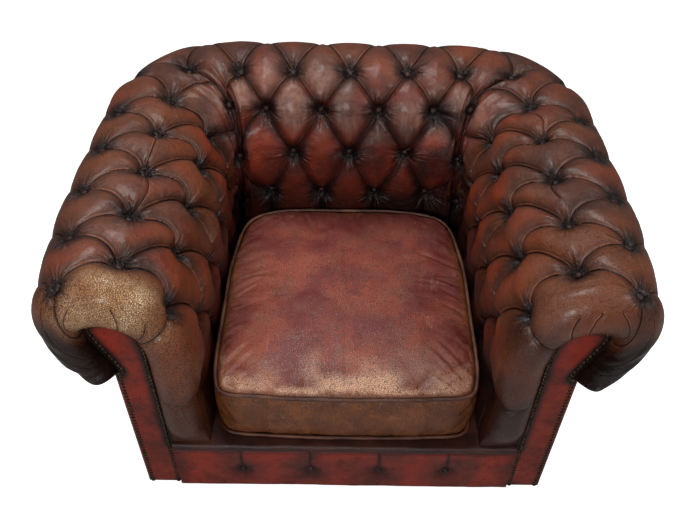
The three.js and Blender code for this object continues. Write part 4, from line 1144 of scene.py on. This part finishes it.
def cushion_rings():
    """The cushion before it is filled: rings from the middle of its bottom to that of its top."""
    outline = cushion_outline(160)
    normals = outline_normals(outline)
    low = CUSHION_BOTTOM_PIPING
    high = CUSHION_TOP_PIPING
    levels = [(0.02, 0, DECK_TOP + 1), (0.5, 0, DECK_TOP + 1), (0.95, 0, DECK_TOP + 1)]
    levels += [(1, -3, low), (1, -1, low + 20), (1, 0, (low + high) / 2)]
    levels += [(1, -1, high - 20), (1, -3, high)]
    for share in (0.94, 0.86, 0.74, 0.6, 0.45, 0.3, 0.15, 0.02):
        levels.append((share, 0, high + 2 + (CUSHION_CROWN - 8) * (1 - share**2.2)))
    rings = []
    for share, step, z in levels:
        ring = (outline + normals * step - (0, CUSHION_MIDDLE)) * share + (0, CUSHION_MIDDLE)
        rings.append(np.column_stack([ring, np.full(len(ring), z)]))
    return rings


def seam_distance(points, level):
    """Distance of points to the seam that runs round the cushion at a height."""
    outline = cushion_outline(240)
    nearest = np.full(len(points), np.inf)
    for x, y in outline:
        nearest = np.minimum(nearest, (points[:, 0] - x) ** 2 + (points[:, 1] - y) ** 2)
    return np.sqrt(nearest + (points[:, 2] - level) ** 2)


def positions(mesh):
    """A mesh's points in millimetres behind the facing plane."""
    flat = np.empty(len(mesh.vertices) * 3)
    mesh.vertices.foreach_get("co", flat)
    return flat.reshape(-1, 3) * 1000 - (0, FACING_PLANE, 0)


def set_positions(mesh, points):
    mesh.vertices.foreach_set("co", to_row(points).ravel())
    mesh.update()


def normals_of(mesh):
    flat = np.empty(len(mesh.vertices) * 3)
    mesh.vertices.foreach_get("normal", flat)
    return flat.reshape(-1, 3)


def apply_modifiers(piece):
    with bpy.context.temp_override(object=piece, active_object=piece):
        for modifier in list(piece.modifiers):
            bpy.ops.object.modifier_apply(modifier=modifier.name)


def remesh(piece, size):
    modifier = piece.modifiers.new("even", "REMESH")
    modifier.mode = "VOXEL"
    modifier.voxel_size = size
    apply_modifiers(piece)


def fill_cover(piece, held):
    """Blows the cover up like a stuffed cushion: held points stay, the others move a short way."""
    start = positions(piece.data)
    group = piece.vertex_groups.new(name="held")
    for k, weight in enumerate(held):
        if weight > 0:
            group.add([k], float(weight), "REPLACE")
    cloth = piece.modifiers.new("fill", "CLOTH")
    settings = cloth.settings
    settings.quality = 5
    settings.mass = 0.4
    settings.vertex_group_mass = "held"
    settings.use_pressure = True
    settings.uniform_pressure_force = FILL_PRESSURE
    settings.shrink_min = -FILL_SLACK
    settings.tension_stiffness = 20
    settings.bending_stiffness = 0.6
    settings.effector_weights.gravity = 0
    scene = bpy.context.scene
    for number in range(1, FILL_FRAMES + 1):
        scene.frame_set(number)
    apply_modifiers(piece)
    scene.frame_set(1)
    piece.vertex_groups.clear()
    moved = positions(piece.data) - start
    far = np.linalg.norm(moved, axis=1)
    limit = FILL_REACH * np.tanh(far / FILL_REACH) / np.maximum(far, 1e-6)
    set_positions(piece.data, start + moved * limit[:, None])


# Creases of the cushion's top: start, end, depth and width
CUSHION_CREASES = (
    ((-262, 380), (-205, 372), 3.0, 5),
    ((-258, 350), (-180, 362), 2.6, 5),
    ((-262, 318), (-190, 345), 3.0, 6),
    ((-255, 290), (-200, 330), 2.4, 5),
    ((-262, 245), (-215, 262), 2.0, 5),
    ((262, 372), (196, 360), 2.8, 5),
    ((262, 338), (202, 352), 2.6, 6),
    ((262, 300), (206, 322), 2.2, 5),
    ((262, 250), (212, 276), 2.0, 5),
    ((-8, 590), (2, 250), 1.2, 7),
    ((2, 250), (-4, 40), 1.0, 8),
    ((8, 590), (12, 380), 1.2, 6),
    ((-120, 596), (-70, 470), 2.0, 7),
    ((-170, 590), (-130, 500), 2.0, 7),
    ((130, 596), (90, 475), 2.0, 7),
    ((185, 585), (150, 500), 2.0, 7),
    ((-250, 60), (-185, 130), 2.2, 6),
    ((-255, 95), (-205, 150), 2.0, 6),
    ((-235, 45), (-150, 95), 1.6, 6),
    ((250, 55), (170, 150), 2.2, 6),
    ((256, 90), (190, 165), 2.0, 6),
    ((225, 40), (160, 90), 1.6, 6),
    ((262, 400), (150, 440), 1.8, 5),
    ((262, 330), (140, 336), 1.8, 5),
)


def crease_lift(points, creases):
    lift = np.zeros(len(points))
    for start, end, depth, width in creases:
        a = np.array(start, float)
        b = np.array(end, float) - a
        at = points[:, :2] - a
        t = clamp01(at @ b / (b @ b))
        away = at - t[:, None] * b
        side = np.sign(away @ np.array([-b[1], b[0]]))
        d = np.linalg.norm(away, axis=1) * side / width
        fade = smooth(t * 5 + 0.2) * smooth((1 - t) * 2.5)
        lift += depth * fade * (0.7 * bell(d - 1.3, 1) - bell(d, 1))
    return lift


def add_cushion():
    rings = cushion_rings()
    rows = len(rings)
    columns = len(rings[0])
    points = np.stack(rings, 1).reshape(-1, 3)
    faces = grid_faces(columns, rows, wrap=True)
    faces.append([k * rows for k in range(columns)][::-1])
    faces.append([k * rows + rows - 1 for k in range(columns)])
    piece = mesh_piece("seat_cushion_fine", points, faces, "cushion_leather", ["seat_cushion"])
    remesh(piece, EVEN_MESH)
    points = positions(piece.data)
    seams = np.minimum(
        seam_distance(points, CUSHION_TOP_PIPING), seam_distance(points, CUSHION_BOTTOM_PIPING)
    )
    held = np.maximum(seams < 9, points[:, 2] < CUSHION_BOTTOM_PIPING)
    fill_cover(piece, held)
    piece.modifiers.new("finer", "SUBSURF").levels = 1
    apply_modifiers(piece)
    shape_cushion(piece)
    for level, name in ((CUSHION_TOP_PIPING, "top"), (CUSHION_BOTTOM_PIPING, "bottom")):
        add_piping("cushion_piping_" + name, level)


def shape_cushion(piece):
    """Creases, pebbles and the sewn-in seams, with the measures that the colours follow, among them
    painted shade and a painted highlight.
    """
    mesh = piece.data
    points = positions(mesh)
    normals = normals_of(mesh)
    top = seam_distance(points, CUSHION_TOP_PIPING)
    bottom = seam_distance(points, CUSHION_BOTTOM_PIPING)
    seam = np.minimum(top, bottom)
    upper = smooth((points[:, 2] - CUSHION_TOP_PIPING) / 6)
    lift = upper * crease_lift(points, CUSHION_CREASES)
    lift += 1.6 * noise(points, 85, 11) + 0.8 * noise(points, 28, 12)
    turn = np.arctan2(points[:, 1] - CUSHION_MIDDLE, points[:, 0])
    gathers = np.stack([turn * 25, seam / 70, 0 * turn], 1)
    lift += 3.2 * noise(gathers, 1, 13) * decay(seam, 42) * upper
    lift += 1.2 * noise(gathers * (2.3, 1, 1), 1, 14) * decay(seam, 16)
    lift -= 3 * decay(seam, 4)
    set_positions(mesh, points + normals * lift[:, None])
    mesh.shade_smooth()
    wavy = 40 * noise(points, 90, 15)
    # paler speckled leather towards the front: partly worn, partly a painted highlight
    rubbed = smooth((130 - points[:, 1] + wavy) / 110) * smooth(0.55 + 0.9 * noise(points, 40, 16))
    # the rolled front edge, painted as a highlight
    roll = smooth((46 - points[:, 1]) / 30)
    attributes = {
        "back": smooth((points[:, 1] - 430 + wavy) / 170) * 0.8,
        "front": upper * most(0.62 * rubbed, 0.9 * roll),
        "edge": decay(seam, 40) * upper * (1 - roll) * 0.8,
        "side": 1 - upper,
        # painted shade in the seam grooves and low down by the deck
        "shade": most(0.6 * decay(seam, 3.5), 0.5 * (1 - smooth((points[:, 2] - DECK_TOP) / 12))),
    }
    for key, values in attributes.items():
        put_attribute(mesh, key, values)


def add_piping(node, level):
    sides = 10
    outline = cushion_outline(420)
    normals = outline_normals(outline)
    centre = np.column_stack([outline, np.full(len(outline), level)])
    wobble = 1.2 * noise(centre, 70, 21)
    turn = np.arange(sides) * 2 * math.pi / sides
    radius = PIPING_RADIUS * (1 + 0.12 * noise(centre, 16, 22))
    points = np.repeat(centre[:, None], sides, 1)
    points[:, :, :2] += normals[:, None] * (radius[:, None] * np.cos(turn))[..., None]
    points[:, :, 2] += wobble[:, None] + radius[:, None] * np.sin(turn)
    faces = []
    for k in range(len(outline)):
        a = k * sides
        b = (k + 1) % len(outline) * sides
        for j in range(sides):
            beside = (j + 1) % sides
            faces.append((a + j, b + j, b + beside, a + beside))
    mesh_piece(node + "_fine", points.reshape(-1, 3), faces, "piping_leather", [node])


# Front border and platform lip
BORDER_HALF_WIDTH = HALF_WIDTH - STRIP_WIDTH - GAP
LIP_BOTTOM = DECK_TOP - LIP_HEIGHT
BORDER_BACK = 8


def border_buttons():
    return [(k - (BORDER_BUTTONS - 1) / 2) * BORDER_BUTTON_PITCH for k in range(BORDER_BUTTONS)]


def border_depth(x, z):
    depth = np.zeros(np.broadcast(x, z).shape)
    for button in border_buttons():
        across = np.abs(x - button)
        away = np.hypot(across, z - BORDER_BUTTON_HEIGHT)
        angle = np.arctan2(z - BORDER_BUTTON_HEIGHT, x - button)
        beyond = np.maximum(away - 1.3 * BUTTON_RADIUS, 0)
        pleat = bell(across, 6) * smooth((away - 12) / 14)
        pucker = decay(beyond, 16) * smooth(beyond / 4)
        depth += BORDER_PIT_DEPTH * bell(beyond, 14) + BORDER_PLEAT_DEPTH * pleat
        depth += 1.2 * pucker * np.cos(10 * angle + button)
    return depth


def border_attributes(x, z, top):
    """Painted shade in the pits, along the pleats and at the edges; rubbed red between the buttons.
    """
    away = np.min([np.hypot(x - b, z - BORDER_BUTTON_HEIGHT) for b in border_buttons()], axis=0)
    across = np.min([np.abs(x - b) for b in border_buttons()], axis=0)
    shade = most(
        0.95 * bell(away, 22),
        0.85 * (1 - smooth((top - z) / 16)),
        0.95 * bell(across, 4) * smooth((z - BORDER_BUTTON_HEIGHT) / 10),
        0.5 * (1 - smooth((z - BASE_BOTTOM) / 18)),
        0.6 * (1 - smooth((BORDER_HALF_WIDTH - np.abs(x)) / 40)),
    )
    glow = smooth(away / 70 - 0.3) * 0.8
    return {"shade": shade.ravel(), "glow": glow.ravel()}


def add_border():
    top = LIP_BOTTOM - GAP
    x = np.linspace(-BORDER_HALF_WIDTH, BORDER_HALF_WIDTH, 300)
    z = np.concatenate([[BASE_BOTTOM], np.linspace(BASE_BOTTOM, top, 60), [top]])
    xx, zz = np.meshgrid(x, z, indexing="ij")
    rounding = 5 * (1 - smooth((top - zz) / 10)) + 4 * (1 - smooth((zz - BASE_BOTTOM) / 8))
    edges = smooth((zz - BASE_BOTTOM) / 14) * smooth((top - zz + 4) / 10)
    y = -BORDER_LEAD + rounding + border_depth(xx, zz) * edges
    flat = np.stack([xx, y, zz], -1).reshape(-1, 3)
    y = y + (1.3 * noise(flat, 55, 31) + 0.5 * noise(flat, 18, 32)).reshape(y.shape)
    y[:, 0] = BORDER_BACK
    y[:, -1] = BORDER_BACK
    points = np.stack([xx, y, zz], -1).reshape(-1, 3)
    faces = grid_faces(len(x), len(z))
    attributes = border_attributes(xx, zz, top)
    node = "front_border"
    piece = mesh_piece(node + "_fine", points, faces, "facing_leather", [node], attributes)
    add_border_buttons()


def add_border_buttons():
    depth = -BORDER_LEAD + BORDER_PIT_DEPTH - GAP
    places = [(b, depth, BORDER_BUTTON_HEIGHT) for b in border_buttons()]
    nodes = ["front_button_" + str(k + 1) for k in range(BORDER_BUTTONS)]
    normals = [(0, -1, 0)] * len(places)
    size = (BUTTON_RADIUS, BORDER_BUTTON_DOME)
    many_domes("front_buttons", places, normals, *size, "button_leather", nodes)


def add_lip():
    back = BORDER_BACK + GAP + 25
    x = np.linspace(-BORDER_HALF_WIDTH, BORDER_HALF_WIDTH, 260)
    turn = np.linspace(0, math.pi / 2, 9)
    profile = [(back, LIP_BOTTOM), (-BORDER_LEAD, LIP_BOTTOM)]
    for t in turn:
        forward = -BORDER_LEAD + LIP_RADIUS * (1 - math.cos(t))
        profile.append((forward, DECK_TOP - LIP_RADIUS * (1 - math.sin(t))))
    profile += [(8, DECK_TOP), (20, DECK_TOP), (back, DECK_TOP)]
    points = np.array([(a, y, z) for a in x for y, z in profile])
    wave = 0.9 * noise(points, 60, 41) + 0.5 * noise(points, 17, 42)
    points[:, 1] += wave * (points[:, 1] < 0)
    points[:, 2] += 0.6 * wave * (points[:, 2] > LIP_BOTTOM + 1)
    faces = grid_faces(len(x), len(profile))
    dark = {"shade": 0.45 + 0.2 * noise(points, 50, 43)}
    node = "platform_lip"
    piece = mesh_piece(node + "_fine", points, faces, "panel_leather", [node], dark)


# Floor, light and camera
LAMPS = (
    ("front", (-0.7, -3.0, 2.0), 0.9, 52),
    ("side", (2.3, -0.9, 2.4), 0.9, 25),
    ("top", (-0.3, 0.5, 3.0), 1.1, 43),
)
LAMP_TARGET = Vector((0, 0, 0.45))
WORLD_LEVEL = 0.14
FLOOR_GREY = 0.4
FLOOR_WHITE = 0.98
FLOOR_EMISSION = 0.75
PHOTO_WIDTH = 700
PHOTO_HEIGHT = 525
PHOTO_FOCAL = 711.72
PHOTO_MIDDLE = (348.06, 265.15)
CAMERA_TURN = (0.650, -43.213, 1.376)  # degrees to the side, upwards and round the view
CAMERA_PLACE = (-12.8, -851.9, 1546.3)
SENSOR_WIDTH = 36


def grey(level):
    return (level, level, level, 1)


def add_stage():
    bpy.ops.mesh.primitive_plane_add(size=14, location=(0, 1, 0))
    floor = bpy.context.object
    floor.name = "pale_floor"
    look = Look("pale_floor")
    seen = look.node("ShaderNodeLightPath").outputs["Is Camera Ray"]
    tint = look.blend(look.noise(0.8, 2), grey(FLOOR_GREY), grey(FLOOR_GREY * 1.1))
    look.finish(look.blend(seen, tint, grey(FLOOR_WHITE)), 0.8)
    look.shader.inputs["Emission Color"].default_value = grey(1)
    look.feed(look.shader.inputs["Emission Strength"], look.times(seen, FLOOR_EMISSION))
    floor.data.materials.append(look.material)


def add_lamp(name, place, size, power):
    data = bpy.data.lights.new(name, "AREA")
    data.shape = "DISK"
    data.size = size
    data.energy = power
    lamp = bpy.data.objects.new(name, data)
    lamp.location = place
    lamp.rotation_euler = (Vector(place) - LAMP_TARGET).to_track_quat("Z", "Y").to_euler()
    bpy.context.scene.collection.objects.link(lamp)


def add_world():
    """White to the camera, dimmer to everything else."""
    world = bpy.data.worlds.new("studio")
    bpy.context.scene.world = world
    world.use_nodes = True
    tree = world.node_tree
    background = tree.nodes["Background"]
    path = tree.nodes.new("ShaderNodeLightPath")
    level = tree.nodes.new("ShaderNodeMapRange")
    tree.links.new(path.outputs["Is Camera Ray"], level.inputs[0])
    level.inputs[3].default_value = WORLD_LEVEL
    level.inputs[4].default_value = 1.0
    background.inputs["Color"].default_value = grey(1)
    tree.links.new(level.outputs[0], background.inputs["Strength"])


def add_camera():
    """The view of the photograph."""
    yaw, pitch, roll = (math.radians(v) for v in CAMERA_TURN)
    forward = np.array(
        [math.sin(yaw) * math.cos(pitch), math.cos(yaw) * math.cos(pitch), math.sin(pitch)]
    )
    level = np.array([math.cos(yaw), -math.sin(yaw), 0])
    above = np.cross(level, forward)
    data = bpy.data.cameras.new("view")
    data.sensor_fit = "HORIZONTAL"
    data.sensor_width = SENSOR_WIDTH
    data.lens = PHOTO_FOCAL / PHOTO_WIDTH * SENSOR_WIDTH
    data.shift_x = (PHOTO_WIDTH / 2 - PHOTO_MIDDLE[0]) / PHOTO_WIDTH
    data.shift_y = (PHOTO_MIDDLE[1] - PHOTO_HEIGHT / 2) / PHOTO_WIDTH
    axes = np.eye(4)
    axes[:3, 0] = level * math.cos(roll) + above * math.sin(roll)
    axes[:3, 1] = above * math.cos(roll) - level * math.sin(roll)
    axes[:3, 2] = -forward
    axes[:3, 3] = to_row([CAMERA_PLACE])[0]
    camera = bpy.data.objects.new("view", data)
    camera.matrix_world = Matrix(axes.tolist())
    bpy.context.scene.collection.objects.link(camera)
    bpy.context.scene.camera = camera


add_camera()
add_world()
for lamp in LAMPS:
    add_lamp(*lamp)
add_stage()
dress_nodes()
add_covers()
add_tuft_buttons()
add_facings()
add_nails()
add_cushion()
add_border()
add_lip()

bpy.context.scene.view_settings.view_transform = "Standard"
